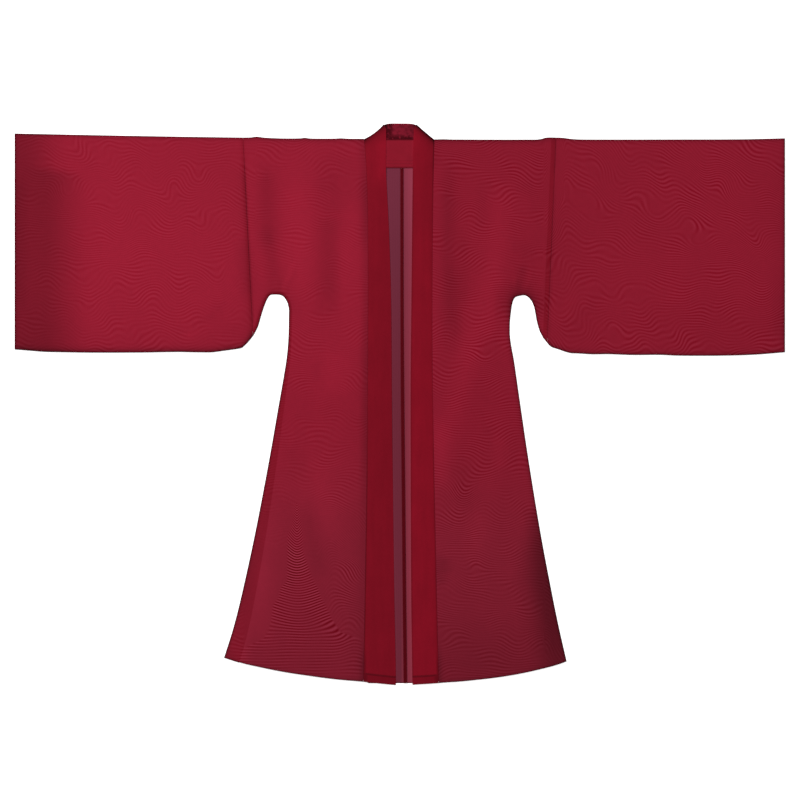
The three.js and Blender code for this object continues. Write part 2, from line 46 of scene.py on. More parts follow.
# Seen from above, an edge is a table of how far out from the middle and how far up its points lie.
HALVES = {
    "right": {
        "sign": -1,
        "shoulder": {"out": (0.0885, 0.130, 0.1475, 0.165, 0.225, 0.2375, 0.250, 0.300, 0.3425, 0.3575,
                             0.3725, 0.392, 0.500, 0.620, 0.770, 0.962),
                     "up": (0.6632, 0.6635, 0.6645, 0.6637, 0.6640, 0.6656, 0.6643, 0.6643, 0.6665,
                            0.6686, 0.6668, 0.6664, 0.6678, 0.6697, 0.6725, 0.6765)},
        "sleeve_bottom": {"out": (0.3672, 0.3725, 0.380, 0.3875, 0.395, 0.410, 0.440, 0.470, 0.500, 0.560,
                                  0.650, 0.770, 0.860, 0.890, 0.920, 0.962),
                          "up": (0.1700, 0.1633, 0.1543, 0.1468, 0.1402, 0.1370, 0.1328, 0.1290, 0.1288,
                                 0.1297, 0.1283, 0.1281, 0.1294, 0.1302, 0.1326, 0.1360)},
        "underarm": {"out": (0.2775, 0.2803, 0.285, 0.291, 0.299, 0.308, 0.318, 0.325, 0.330, 0.335,
                             0.3423, 0.349, 0.3555, 0.3672),
                     "up": (0.235, 0.250, 0.260, 0.2683, 0.2726, 0.2736, 0.2736, 0.2718, 0.2653, 0.256,
                            0.236, 0.214, 0.192, 0.170)},
        "side": {"up": (-0.6345, -0.565, -0.485, -0.325, -0.145, -0.005, 0.075, 0.120, 0.165, 0.235),
                 "out": (0.440, 0.4180, 0.3975, 0.3625, 0.3280, 0.3035, 0.2895, 0.2827, 0.2790, 0.2775)},
        "hem": {"out": (0.015, 0.050, 0.075, 0.110, 0.150, 0.190, 0.230, 0.270, 0.310, 0.350, 0.390, 0.440),
                "up": (-0.7028, -0.6990, -0.6960, -0.6927, -0.6893, -0.6847, -0.6790, -0.6732, -0.6663,
                       -0.6580, -0.6489, -0.6345)},
        "band_seam": {"up": (-0.700, -0.468, -0.132, 0.260, 0.480, 0.575, 0.655, 0.662),
                      "out": (0.0915, 0.0875, 0.0825, 0.080, 0.081, 0.0835, 0.0885, 0.0890)},
        "band_free": {"up": (-0.700, -0.640, -0.490, -0.240, 0.010, 0.260, 0.435, 0.535, 0.590, 0.700),
                      "out": (0.0103, 0.0110, 0.0140, 0.0173, 0.0203, 0.0222, 0.0276, 0.0326, 0.0350,
                              0.034)},
        "armhole_top": 0.392,
        "armhole_foot": (0.3672, 0.170),
        "neck_seam": (0.0895, 0.6625),
        "band_top": (0.0405, 0.6995),
        "band_sag": 0.0034,
        "bottom_nearer": 0.42,
        "under_arm_shade": 0.16,
        "cuff": 0.9632,
    },
    "left": {
        "sign": 1,
        "shoulder": {"out": (0.0855, 0.110, 0.130, 0.340, 0.352, 0.366, 0.392, 0.405, 0.435, 0.470, 0.700,
                             0.855, 0.925, 0.962),
                     "up": (0.6617, 0.6622, 0.6615, 0.6613, 0.6625, 0.6662, 0.6663, 0.6658, 0.6622,
                            0.6614, 0.6615, 0.6620, 0.6635, 0.6645)},
        "sleeve_bottom": {"out": (0.368, 0.3745, 0.3825, 0.390, 0.402, 0.4125, 0.4275, 0.4425, 0.480,
                                  0.520, 0.580, 0.650, 0.695, 0.800, 0.885, 0.962),
                          "up": (0.1525, 0.1450, 0.1405, 0.1383, 0.1343, 0.1305, 0.1268, 0.1262, 0.1240,
                                 0.1243, 0.1222, 0.1225, 0.1206, 0.1205, 0.1230, 0.1290)},
        "underarm": {"out": (0.278, 0.2803, 0.2845, 0.290, 0.300, 0.310, 0.3155, 0.320, 0.325, 0.330,
                             0.335, 0.3375, 0.3408, 0.345, 0.350, 0.3585, 0.368),
                     "up": (0.235, 0.250, 0.2625, 0.2680, 0.2705, 0.2720, 0.2703, 0.2676, 0.2625, 0.2555,
                            0.2430, 0.232, 0.212, 0.195, 0.180, 0.165, 0.1525)},
        "side": {"up": (-0.6435, -0.560, -0.485, -0.325, -0.145, -0.005, 0.075, 0.1075, 0.165, 0.205,
                        0.235),
                 "out": (0.4165, 0.3975, 0.3820, 0.3517, 0.3220, 0.3012, 0.2898, 0.2850, 0.2752, 0.2748,
                         0.2780)},
        "hem": {"out": (0.030, 0.070, 0.110, 0.150, 0.190, 0.230, 0.270, 0.310, 0.350, 0.390, 0.4165),
                "up": (-0.7020, -0.7000, -0.6964, -0.6936, -0.6898, -0.6853, -0.6795, -0.6722, -0.6631,
                       -0.6527, -0.6435)},
        "band_seam": {"up": (-0.700, -0.468, 0.010, 0.260, 0.510, 0.590, 0.662),
                      "out": (0.097, 0.0915, 0.082, 0.0805, 0.0825, 0.084, 0.0855)},
        "band_free": {"up": (-0.700, -0.468, 0.010, 0.260, 0.590, 0.640, 0.700),
                      "out": (0.031, 0.028, 0.0265, 0.0285, 0.032, 0.033, 0.035)},
        "armhole_top": 0.390,
        "armhole_foot": (0.368, 0.1525),
        "neck_seam": (0.0862, 0.6605),
        "band_top": (0.0410, 0.6990),
        "band_sag": 0.0004,
        "bottom_nearer": 0.62,
        "under_arm_shade": 0.48,
        "cuff": 0.962,
    },
}
BACK_SEAM = {"up": (-0.700, -0.640, -0.490, -0.240, 0.010, 0.260, 0.6597),
             "out": (0.0133, 0.0127, 0.0109, 0.0087, 0.0063, 0.0050, 0.0046)}
HEM_LOW = -0.7025
UNDERARM_FOOT = 0.235
NECKLINE_UP = 0.6597
BACK_HEM_SHORTER = 0.0045

SEAM_GAP = 0.0003
SHELL = 0.0005
BACK_MIDDLE = 0.0005
FRONT_MIDDLE = 0.0031
FOLD_RADIUS = (FRONT_MIDDLE - BACK_MIDDLE) / 2
FOLD_INSET = 0.0018
# At a sewn side the two layers come together.
BACK_RISE = {"by": 0.00045, "within": 0.006}
FRONT_DROP = {"by": 0.00155, "within": 0.012}

# The soft folds of the upper layer: each crest runs from (x0, y0) to (x1, y1).
FOLDS = [dict(zip(("x0", "y0", "x1", "y1", "half", "height"), row)) for row in (
    (-0.355, 0.600, -0.342, 0.330, 0.017, 0.0012),
    (-0.222, 0.600, -0.214, 0.180, 0.022, 0.0020),
    (-0.106, 0.520, -0.102, 0.040, 0.015, 0.0013),
    (-0.276, -0.020, -0.190, -0.400, 0.022, 0.0018),
    (-0.170, 0.060, -0.130, -0.300, 0.020, 0.0012),
    (-0.330, -0.330, -0.372, -0.640, 0.020, 0.0013),
    (-0.220, -0.380, -0.250, -0.690, 0.026, 0.0013),
    (0.118, 0.600, 0.126, 0.170, 0.013, 0.0015),
    (0.300, 0.500, 0.140, -0.070, 0.024, 0.0020),
    (0.205, 0.560, 0.190, 0.330, 0.018, 0.0010),
    (0.262, -0.090, 0.205, -0.430, 0.022, 0.0016),
    (0.140, -0.250, 0.150, -0.690, 0.022, 0.0015),
    (0.330, -0.330, 0.352, -0.650, 0.020, 0.0016),
    (-0.400, 0.185, -0.480, 0.270, 0.018, 0.0012),
    (-0.820, 0.560, -0.835, 0.210, 0.026, 0.0012),
    (-0.600, 0.590, -0.560, 0.300, 0.030, 0.0009),
    (0.405, 0.190, 0.500, 0.300, 0.020, 0.0012),
    (0.700, 0.580, 0.715, 0.250, 0.028, 0.0012),
    (0.860, 0.560, 0.880, 0.200, 0.024, 0.0009),
    (-0.306, 0.285, -0.304, 0.318, 0.0035, 0.0009),
    (-0.318, 0.282, -0.345, 0.325, 0.004, 0.0008),
    (-0.290, 0.280, -0.262, 0.345, 0.005, 0.0009),
    (0.292, 0.282, 0.290, 0.312, 0.004, 0.0011),
    (0.312, 0.280, 0.335, 0.330, 0.004, 0.0008),
    (0.325, 0.275, 0.362, 0.2735, 0.0022, 0.0006),
    (0.276, 0.276, 0.240, 0.350, 0.006, 0.0009),
)]
MOST_LIFT = 0.0024
EDGE_FADE = 0.055
CREASE_HALF = 0.007
CREASE_FADE = 0.006
PUCKER = {"height": 0.00035, "in": 0.008, "reach": 0.004, "out_to": 0.42, "up_from": 0.6}
SEAM_GROOVE = {"depth": 0.00016, "half": 0.0028}
ARMHOLE_LOW = 0.15


def through(table, start, end):
    """A smooth function through a table, from its column start to its column end."""
    order = np.argsort(table[start])
    x = np.array(table[start])[order]
    y = np.array(table[end])[order]
    reach = np.arange(len(x))
    before = np.maximum(reach - 1, 0)
    after = np.minimum(reach + 1, len(x) - 1)
    slope = (y[after] - y[before]) / (x[after] - x[before])

    def value(at):
        at = np.clip(at, x[0], x[-1])
        i = np.clip(np.searchsorted(x, at) - 1, 0, len(x) - 2)
        step = x[i + 1] - x[i]
        t = (at - x[i]) / step
        rising = y[i] + (y[i + 1] - y[i]) * t * t * (3 - 2 * t)
        return rising + (t * (1 - t) ** 2 * slope[i] + t * t * (t - 1) * slope[i + 1]) * step
    return value


def smoothstep(value, low, high):
    t = np.clip((value - low) / (high - low), 0, 1)
    return t * t * (3 - 2 * t)


def mix(a, b, t):
    return a + (b - a) * t


def distance_to(line, x, y):
    """The distance from each point to a line of points in the plan."""
    nearest = np.full(np.shape(x), np.inf)
    for (ax, ay), (bx, by) in zip(line[:-1], line[1:]):
        along = max((bx - ax) ** 2 + (by - ay) ** 2, 1e-12)
        t = np.clip(((x - ax) * (bx - ax) + (y - ay) * (by - ay)) / along, 0, 1)
        nearest = np.minimum(nearest, np.hypot(x - ax - t * (bx - ax), y - ay - t * (by - ay)))
    return nearest


back_seam_x = through(BACK_SEAM, "up", "out")
for half in HALVES.values():
    half["shoulder_up"] = through(half["shoulder"], "out", "up")
    half["bottom_up"] = through(half["sleeve_bottom"], "out", "up")
    half["side_out"] = through(half["side"], "up", "out")
    half["seam_out"] = through(half["band_seam"], "up", "out")
    half["free_out"] = through(half["band_free"], "up", "out")
    half["hem_up"] = through(half["hem"], "out", "up")
    steps = {"step": np.arange(len(half["underarm"]["out"]), dtype=float), **half["underarm"]}
    half["underarm_out"] = through(steps, "step", "out")
    half["underarm_up"] = through(steps, "step", "up")
    ups = np.linspace(half["side"]["up"][0], UNDERARM_FOOT, 60)
    side = [(half["sign"] * half["side_out"](up), up) for up in ups]
    rounds = np.linspace(0, len(steps["step"]) - 1, 40)
    underarm = [(half["sign"] * half["underarm_out"](k), half["underarm_up"](k)) for k in rounds]
    half["side_line"] = side + underarm[1:]
    outs = np.linspace(half["shoulder"]["out"][0], half["cuff"], 160)
    half["top_line"] = [(half["sign"] * out, half["shoulder_up"](out)) for out in outs]
    outs = np.linspace(half["armhole_foot"][0], half["cuff"], 120)
    half["bottom_line"] = [(half["sign"] * out, half["bottom_up"](out)) for out in outs]

SHOULDER_NEARER = 0.66
SLEEVE_TOP_NEARER = 0.80


def closed_edge(half, x, y):
    """The distance to the nearest sewn or folded edge of a half."""
    near_side = distance_to(half["side_line"], x, y)
    near_top = distance_to(half["top_line"], x, y)
    return np.minimum(np.minimum(near_side, near_top), distance_to(half["bottom_line"], x, y))


def shaded_edge(half, x, y):
    """The same distance, shortened where a deeper shade lies along the edge."""
    near_side = distance_to(half["side_line"], x, y)
    top_nearer = np.where(np.abs(x) < half["armhole_top"], SHOULDER_NEARER, SLEEVE_TOP_NEARER)
    near_top = distance_to(half["top_line"], x, y) * top_nearer
    near_bottom = distance_to(half["bottom_line"], x, y) * half["bottom_nearer"]
    return np.minimum(np.minimum(near_side, near_top), near_bottom)


RIPPLES = [dict(zip(("x_rate", "y_rate", "turn", "height"), row)) for row in (
    (7.1, 2.3, 0.4, 0.00022),
    (-3.7, 9.2, 1.9, 0.00016),
    (15.3, -6.1, 4.0, 0.00012),
    (21.0, 11.0, 2.2, 0.00008),
    (-31.0, 17.0, 0.9, 0.00005),
)]


def ripple(x, y):
    """The cloth's gentle unevenness, as a few long waves that cross each other."""
    total = np.zeros(np.shape(x))
    for swell in RIPPLES:
        total += swell["height"] * np.sin(x * swell["x_rate"] + y * swell["y_rate"] + swell["turn"])
    return total


def armhole_out(half, up):
    """How far out the armhole seam lies at a height. It is straight."""
    foot_out, foot_up = half["armhole_foot"]
    share = (up - foot_up) / (half["shoulder_up"](half["armhole_top"]) - foot_up)
    return mix(foot_out, half["armhole_top"], share)


def crease_share(crease, x, y):
    """How much of a long soft crease shows at each point. It fades to its sides and at its ends."""
    run_x, run_y = crease["x1"] - crease["x0"], crease["y1"] - crease["y0"]
    length = math.hypot(run_x, run_y)
    along = ((x - crease["x0"]) * run_x + (y - crease["y0"]) * run_y) / length ** 2
    off = ((x - crease["x0"]) * run_y - (y - crease["y0"]) * run_x) / length
    ends = smoothstep(along, -0.2, 0.2) * smoothstep(along, 1.2, 0.8)
    return np.exp(-((off / crease["half"]) ** 2) / 2) * ends


def lift(half, x, y):
    """How far the upper layer is lifted by its folds, creases and puckers."""
    broad = np.zeros(np.shape(x))
    fine = np.zeros(np.shape(x))
    for fold in FOLDS:
        rise = fold["height"] * crease_share(fold, x, y)
        if fold["half"] > CREASE_HALF:
            broad = np.maximum(broad, rise)
        else:
            fine = np.maximum(fine, rise)
    edge = closed_edge(half, x, y)
    soft = np.minimum(broad, MOST_LIFT) + ripple(x, y)
    at_shoulder = np.exp(-((edge - PUCKER["in"]) / PUCKER["reach"]) ** 2)
    at_shoulder *= (y > PUCKER["up_from"]) * (np.abs(x) < PUCKER["out_to"])
    puckers = PUCKER["height"] * np.sin(x * 285 + 2.5 * np.sin(x * 41)) * at_shoulder
    off_armhole = (half["sign"] * x - armhole_out(half, y)) / SEAM_GROOVE["half"]
    groove = SEAM_GROOVE["depth"] * np.exp(-off_armhole ** 2) * (y > ARMHOLE_LOW)
    fine = fine * smoothstep(edge, 0, CREASE_FADE)
    return soft * smoothstep(edge, 0, EDGE_FADE) + fine + puckers - groove


def layer_height(half, layer, x, y):
    """The middle of a layer's thickness. At a sewn edge the two layers come together."""
    from_side = distance_to(half["side_line"], x, y)
    if layer == "back":
        return BACK_MIDDLE + BACK_RISE["by"] * (1 - smoothstep(from_side, 0, BACK_RISE["within"]))
    drop = FRONT_DROP["by"] * (1 - smoothstep(from_side, 0, FRONT_DROP["within"]))
    return FRONT_MIDDLE + lift(half, x, y) - drop


def folded_edge(half, x, y, turn, way):
    """Where a point of a folded edge lies, as the cloth turns from the lower layer to the upper."""
    lower = layer_height(half, "back", x, y)
    upper = layer_height(half, "front", x, y)
    angle = (turn - 0.5) * math.pi
    height = (upper + lower) / 2 + (upper - lower) / 2 * math.sin(angle)
    return y + way * FOLD_RADIUS * math.cos(angle), height


JOIN_WITHIN = 1e-6
SHARP_ANGLE = math.radians(50)


def put_in_scene(name, data):
    """Adds an object, at the origin, for a mesh, a lamp or a camera."""
    thing = bpy.data.objects.new(name, data)
    bpy.context.scene.collection.objects.link(thing)
    return thing


def finish_mesh(bm, name):
    mesh = bpy.data.meshes.new(name)
    bm.to_mesh(mesh)
    bm.free()
    return mesh


def cloth_sheet(name, places, cut=None, ring=False, turned=False):
    """A sheet of cloth from a grid of places, a row of places for each row of its corners. cut()
    says which cells are cut away, and a ring joins the last row to the first."""
    rows = len(places) - 1
    columns = len(places[0]) - 1
    bm = bmesh.new()
    bmesh.ops.create_grid(bm, x_segments=columns, y_segments=rows, size=1)
    if cut:
        gone = []
        for face in bm.faces:
            middle = face.calc_center_median()
            if cut(int((middle.y + 1) / 2 * rows), int((middle.x + 1) / 2 * columns)):
                gone.append(face)
        bmesh.ops.delete(bm, geom=gone, context="FACES")
    for corner in bm.verts:
        row = round((corner.co.y + 1) / 2 * rows)
        column = round((corner.co.x + 1) / 2 * columns)
        corner.co = Vector(places[row][column])
    if ring:
        bmesh.ops.remove_doubles(bm, verts=bm.verts, dist=JOIN_WITHIN)
    if turned:
        bmesh.ops.reverse_faces(bm, faces=bm.faces)
    return put_in_scene(name, finish_mesh(bm, name))


def smooth_over(mesh):
    """Shades a mesh smooth, but for its sharp edges."""
    mesh.shade_smooth()
    mesh.set_sharp_from_angle(angle=SHARP_ANGLE)


def give_thickness(piece, thickness, inner_slot):
    """Makes a sheet a closed shell of cloth, with its inner face in the next material slot."""
    shell = piece.modifiers.new("cloth thickness", "SOLIDIFY")
    shell.thickness = thickness
    shell.offset = 0
    shell.use_even_offset = True
    shell.material_offset = inner_slot
    shell.material_offset_rim = 0
    bpy.context.view_layer.update()
    solid = bpy.data.meshes.new_from_object(piece.evaluated_get(bpy.context.evaluated_depsgraph_get()))
    piece.modifiers.clear()
    piece.data = solid
    smooth_over(solid)


def corners(piece):
    """The x, y and z of all of a piece's corners."""
    spots = np.zeros(len(piece.data.vertices) * 3)
    piece.data.vertices.foreach_get("co", spots)
    return spots.reshape(-1, 3).T


def measure(piece, name, values):
    """Keeps a measure of each corner on the mesh, for the material to read."""
    attribute = piece.data.attributes.new(name, "FLOAT", "POINT")
    attribute.data.foreach_set("value", np.asarray(values, dtype=np.float32))


ROWS = {"back skirt": 60, "back chest": 30, "front chest": 60, "front skirt": 140}
FOLD_STEPS = 8


def steps_of(count):
    return np.linspace(0, 1, count + 1)


def body_rows():
    """The rows of a half of the body, up its back, over the shoulder and down its front."""
    rows = [("back", "skirt", share, 0) for share in steps_of(ROWS["back skirt"])[:-1]]
    rows += [("back", "chest", share, 0) for share in steps_of(ROWS["back chest"])]
    rows += [("fold", "chest", 1, turn) for turn in steps_of(FOLD_STEPS)[1:-1]]
    rows += [("front", "chest", 1 - share, 0) for share in steps_of(ROWS["front chest"])]
    rows += [("front", "skirt", 1 - share, 0) for share in steps_of(ROWS["front skirt"])[1:]]
    return rows


EDGE_SHARES = (0.008, 0.02, 0.035)
STUB_TOP_SHARE = 0.12


def body_places(half):
    """Where each corner of a half of the body lies, and which cells are cut away."""
    near_edge = np.array(EDGE_SHARES)
    main = np.concatenate([[0], near_edge, np.linspace(0.055, 0.945, 54), 1 - near_edge[::-1], [1]])
    neck = steps_of(8)[:-1]
    stub = steps_of(24)[1:]
    rounds = len(half["underarm"]["out"]) - 1
    underarm_start = half["underarm"]["out"][0]
    rows = body_rows()
    side_top = mix(underarm_start, half["armhole_top"], STUB_TOP_SHARE)
    places = []
    for layer, block, share, turn in rows:
        hem_extra = BACK_HEM_SHORTER if layer == "back" else 0.0
        if block == "skirt":
            hem_out = mix(half["seam_out"](HEM_LOW), half["side_out"](HEM_LOW), main)
            low = half["hem_up"](hem_out) + hem_extra * (1 - main)
            up = mix(low, UNDERARM_FOOT, share)
            side = half["side_out"](up)
        else:
            seam_top = half["seam_out"](NECKLINE_UP)
            top_out = mix(seam_top, side_top, main)
            up = mix(UNDERARM_FOOT, half["shoulder_up"](top_out) - FOLD_INSET, share)
            side = mix(underarm_start, side_top, share)
        out = mix(half["seam_out"](up) + SEAM_GAP, side, main)
        neck_up = mix(HEM_LOW + hem_extra, UNDERARM_FOOT, share)
        if block == "chest":
            neck_up = mix(UNDERARM_FOOT, NECKLINE_UP, share)
        neck_start = half["sign"] * back_seam_x(neck_up) + 0.5 * SEAM_GAP
        neck_out = mix(neck_start, half["seam_out"](neck_up) + SEAM_GAP, neck)
        stub_foot_out = half["underarm_out"](stub * rounds)
        stub_foot_up = half["underarm_up"](stub * rounds)
        stub_top_out = mix(side_top, half["armhole_top"], stub)
        stub_out = mix(stub_foot_out, stub_top_out, share)
        stub_up = mix(stub_foot_up, half["shoulder_up"](stub_top_out) - FOLD_INSET, share)
        if block == "skirt":
            stub_out, stub_up = stub_foot_out, stub_foot_up
        x = half["sign"] * np.concatenate([neck_out, out, stub_out])
        y = np.concatenate([np.full(len(neck), neck_up), up, stub_up])
        if layer == "fold":
            y, z = folded_edge(half, x, y, turn, 1)
        else:
            z = layer_height(half, layer, x, y)
        places.append(np.stack([x, y, z], axis=1))

    first_main = len(neck)
    first_stub = len(neck) + len(main) - 1

    def cut(row, column):
        on_back = rows[row][0] == "back" and rows[row + 1][0] == "back"
        on_skirt = "skirt" in (rows[row][1], rows[row + 1][1])
        return (column < first_main and not on_back) or (column >= first_stub and on_skirt)
    return places, cut


def add_node(tree, kind, settings=(), **inputs):
    """Adds a shader node. Its inputs are given by name, with _ for a space, or as n0, n1 by number."""
    made = tree.nodes.new(kind)
    for key, value in dict(settings).items():
        setattr(made, key, value)
    for key, value in inputs.items():
        socket = made.inputs[int(key[1:]) if key[1:].isdigit() else key.replace("_", " ")]
        if isinstance(value, bpy.types.NodeSocket):
            tree.links.new(value, socket)
        else:
            socket.default_value = value
    return made


def calc(operation, *values):
    """A number worked out from others, of which at least one is a socket."""
    tree = next(value.id_data for value in values if isinstance(value, bpy.types.NodeSocket))
    numbers = {f"n{place}": value for place, value in enumerate(values)}
    return add_node(tree, "ShaderNodeMath", {"operation": operation}, **numbers).outputs[0]


def times(a, b):
    return calc("MULTIPLY", a, b)


def less(a, b):
    return calc("SUBTRACT", a, b)


def larger(a, b):
    return calc("MAXIMUM", a, b)


def away_from(value, place):
    return calc("ABSOLUTE", less(value, place))


def scaled(value, by, plus):
    return calc("MULTIPLY_ADD", value, by, plus)


def wave(value, length):
    """A wave of light and dark, -1 to 1, of a length."""
    return calc("SINE", times(value, 2 * math.pi / length))


def near(distance, reach):
    """1 at an edge or a line, and less and less away from it."""
    return calc("EXPONENT", times(distance, -1 / reach))


def ramp(value, low, high, out_low=0.0, out_high=1.0):
    """A smooth step from out_low to out_high as value goes from low to high."""
    node = add_node(value.id_data, "ShaderNodeMapRange", {"interpolation_type": "SMOOTHSTEP"}, n0=value)
    for place, number in enumerate((low, high, out_low, out_high)):
        node.inputs[place + 1].default_value = number
    return node.outputs[0]


def read(tree, name):
    return add_node(tree, "ShaderNodeAttribute", {"attribute_name": name}).outputs["Fac"]


def blend(kind, share, a, b):
    settings = {"data_type": "RGBA", "blend_type": kind}
    return add_node(share.id_data, "ShaderNodeMix", settings, n0=share, n6=a, n7=b).outputs[2]


def plan_of(tree):
    """The x and y of a point of the cloth, and the point itself."""
    point = add_node(tree, "ShaderNodeTexCoord").outputs["Object"]
    split = add_node(tree, "ShaderNodeSeparateXYZ", n0=point)
    return split.outputs[0], split.outputs[1], point


def soft_noise(point, scale, detail=2.0, rough=0.5):
    sockets = {"Vector": point, "Scale": scale, "Detail": detail, "Roughness": rough}
    return add_node(point.id_data, "ShaderNodeTexNoise", **sockets).outputs["Fac"]


def new_material(name, **looks):
    """A material with the given looks, named as its shader names them, with _ for a space."""
    material = bpy.data.materials.new(name)
    material.use_nodes = True
    shader = material.node_tree.nodes["Principled BSDF"]
    for look, value in looks.items():
        shader.inputs[look.replace("_", " ")].default_value = value
    return material


THREAD_PITCH = 0.0007
CLOTH_GLOSS = 0.05


def finish_cloth(material, colour, light_and_tone, depth=0.0003):
    """Gives a cloth its colour, made lighter or darker by its painted light and shade and its own
    mottling, and a bump of a depth from the threads of its plain weave and its slight crimp."""
    tree = material.node_tree
    x, y, point = plan_of(tree)
    threads = times(wave(x, THREAD_PITCH), wave(y, THREAD_PITCH))
    height = scaled(threads, 0.25, soft_noise(point, 130.0, 3.0, 0.6))
    bump = add_node(tree, "ShaderNodeBump", Strength=0.35, Distance=depth, Height=height)
    toned = add_node(tree, "ShaderNodeHueSaturation", Color=colour, Value=light_and_tone)
    shader = tree.nodes["Principled BSDF"]
    tree.links.new(toned.outputs[0], shader.inputs["Base Color"])
    tree.links.new(bump.outputs[0], shader.inputs["Normal"])
    return material


CLOTH_RED = (0.224, 0.0077, 0.0217, 1)
SKIRT_RED = (0.218, 0.0109, 0.0261, 1)
UNDER_TINT = (0.86, 0.60, 0.68, 1)
EDGE_TINT = (0.06, 0.08, 0.09, 1)
LINES_MAUVE = (0.0200, 0.0036, 0.0064)
INNER_MAUVE = (0.141, 0.0208, 0.0395, 1)
INNER_MAUVE_LEFT = (0.200, 0.0275, 0.0485, 1)
LOWER_TINT = (1.0, 0.90, 0.88, 1)

# Painted light and shade along the soft folds, in streaks: each runs from (x0, y0) to (x1, y1).
FOLD_LIGHT_AND_SHADE = [dict(zip(("x0", "y0", "x1", "y1", "half", "gain"), row)) for row in (
    (-0.333, 0.585, -0.330, 0.400, 0.019, -0.15),
    (-0.388, 0.400, -0.376, 0.270, 0.017, -0.10),
    (-0.182, 0.530, -0.180, 0.460, 0.018, 0.08),
    (-0.083, 0.560, -0.081, 0.400, 0.015, -0.13),
    (-0.338, -0.400, -0.342, -0.600, 0.019, 0.10),
    (-0.432, -0.615, -0.426, -0.650, 0.012, -0.14),
    (0.160, 0.420, 0.158, 0.250, 0.012, -0.07),
    (0.130, 0.340, 0.142, 0.160, 0.014, -0.09),
    (0.234, 0.260, 0.222, 0.170, 0.012, 0.07),
    (0.112, -0.385, 0.116, -0.420, 0.012, -0.10),
    (0.100, -0.050, 0.105, -0.200, 0.017, 0.15),
    (0.315, 0.520, 0.314, 0.400, 0.014, 0.08),
    (-0.332, 0.430, -0.308, 0.285, 0.014, -0.13),
    (-0.262, 0.560, -0.262, 0.255, 0.022, 0.06),
    (-0.178, 0.545, -0.176, 0.250, 0.021, -0.16),
    (-0.142, 0.430, -0.142, 0.235, 0.012, 0.05),
    (-0.165, 0.125, -0.160, 0.030, 0.026, 0.06),
    (-0.207, 0.110, -0.207, 0.060, 0.010, -0.04),
    (-0.220, -0.050, -0.212, -0.170, 0.024, 0.04),
    (-0.270, -0.100, -0.260, -0.180, 0.016, -0.04),
    (-0.210, -0.160, -0.172, -0.335, 0.020, 0.09),
    (-0.236, -0.265, -0.200, -0.430, 0.018, -0.10),
    (-0.285, -0.255, -0.272, -0.480, 0.014, -0.04),
    (-0.165, 0.625, -0.120, 0.500, 0.045, -0.06),
    (0.1175, 0.585, 0.1175, 0.150, 0.014, -0.14),
    (0.245, 0.530, 0.225, 0.270, 0.028, 0.10),
    (0.225, 0.300, 0.110, -0.100, 0.028, 0.09),
    (0.325, 0.545, 0.318, 0.345, 0.020, -0.06),
    (0.310, 0.345, 0.290, 0.280, 0.009, -0.14),
    (0.205, 0.560, 0.205, 0.440, 0.014, -0.05),
    (0.138, -0.145, 0.172, -0.260, 0.024, -0.06),
    (0.245, -0.080, 0.248, -0.165, 0.016, 0.04),
    (0.220, -0.050, 0.222, -0.160, 0.012, -0.04),
    (0.198, -0.270, 0.172, -0.390, 0.020, 0.06),
    (0.086, -0.380, 0.104, -0.450, 0.014, -0.12),
    (-0.510, 0.185, -0.440, 0.248, 0.008, -0.05),
    (-0.540, 0.165, -0.470, 0.205, 0.008, 0.05),
)]

# How the light falls off down the body and over the sleeves, on each side.
FALLING_LIGHT = {
    "up": (-0.65, -0.59, -0.515, -0.44, -0.365, -0.29, -0.215, -0.14, 0.01, 0.085, 0.16, 0.235, 0.37,
           0.50, 0.635),
    "right": (0.81, 0.824, 0.84, 0.876, 0.899, 0.93, 0.992, 1.007, 1.03, 1.068, 1.093, 1.10, 1.139, 1.112,
              1.06),
    "left": (0.692, 0.737, 0.806, 0.83, 0.858, 0.876, 0.891, 0.906, 0.922, 0.946, 0.973, 0.98, 0.947,
             0.935, 0.921),
}
SLEEVE_LIGHT = {"up": (0.16, 0.21, 0.28, 0.37, 0.43, 0.60), "right": (1.05, 1.10, 1.13, 1.14, 1.13, 1.07),
                "left": (0.97, 0.98, 1.005, 1.00, 0.98, 0.955)}
# How the left side's darker edge fades from the side: its turned-in edges seen through, and painted shade.
LEFT_SIDE_SHADE = {"away": (0.010, 0.022, 0.035, 0.048, 0.060, 0.072, 0.085, 0.100),
                   "share": (1.0, 0.95, 0.75, 0.53, 0.34, 0.20, 0.08, 0.0)}


def right_shades(out, y, from_seam, from_side, off_armhole):
    """The shades of the right half, each as how much it lightens the cloth and where it lies."""
    past_armhole = np.maximum(off_armhole, 0)
    at_armhole = (off_armhole > 0) * (y > 0.10)
    upper = smoothstep(y, 0.600, 0.565)
    cuff = smoothstep(out, mix(0.820, 0.764, upper), mix(0.950, 0.895, upper))
    cuff_edge = smoothstep(out, 0.920, 0.950) * smoothstep(y, 0.20, 0.28) * smoothstep(y, 0.60, 0.52)
    inner_sleeve = smoothstep(out, 0.46, 0.54) * smoothstep(out, 0.80, 0.72)
    armhole = np.exp(-past_armhole / 0.014) * at_armhole * smoothstep(y, 0.62, 0.56)
    low_side = np.exp(-from_side / 0.018) * smoothstep(y, -0.25, -0.40)
    band_gain = -np.interp(y, (-0.5, -0.3, -0.1, 0.2, 0.4), (0.09, 0.14, 0.29, 0.25, 0.20))
    beside_band = 1 - smoothstep(from_seam, 0.0, 0.026)
    low_front = smoothstep(from_seam, 0.060, 0.015) * smoothstep(y, 0.22, 0.10) * (out < 0.3)
    by_the_strip = np.exp(-np.maximum(from_side - 0.035, 0) / 0.035) * smoothstep(y, -0.22, -0.35)
    return ((-0.37, cuff), (-0.10, cuff_edge), (0.02, inner_sleeve), (-0.20, armhole), (-0.16, low_side),
            (band_gain, beside_band), (-0.06, low_front), (0.14, by_the_strip))


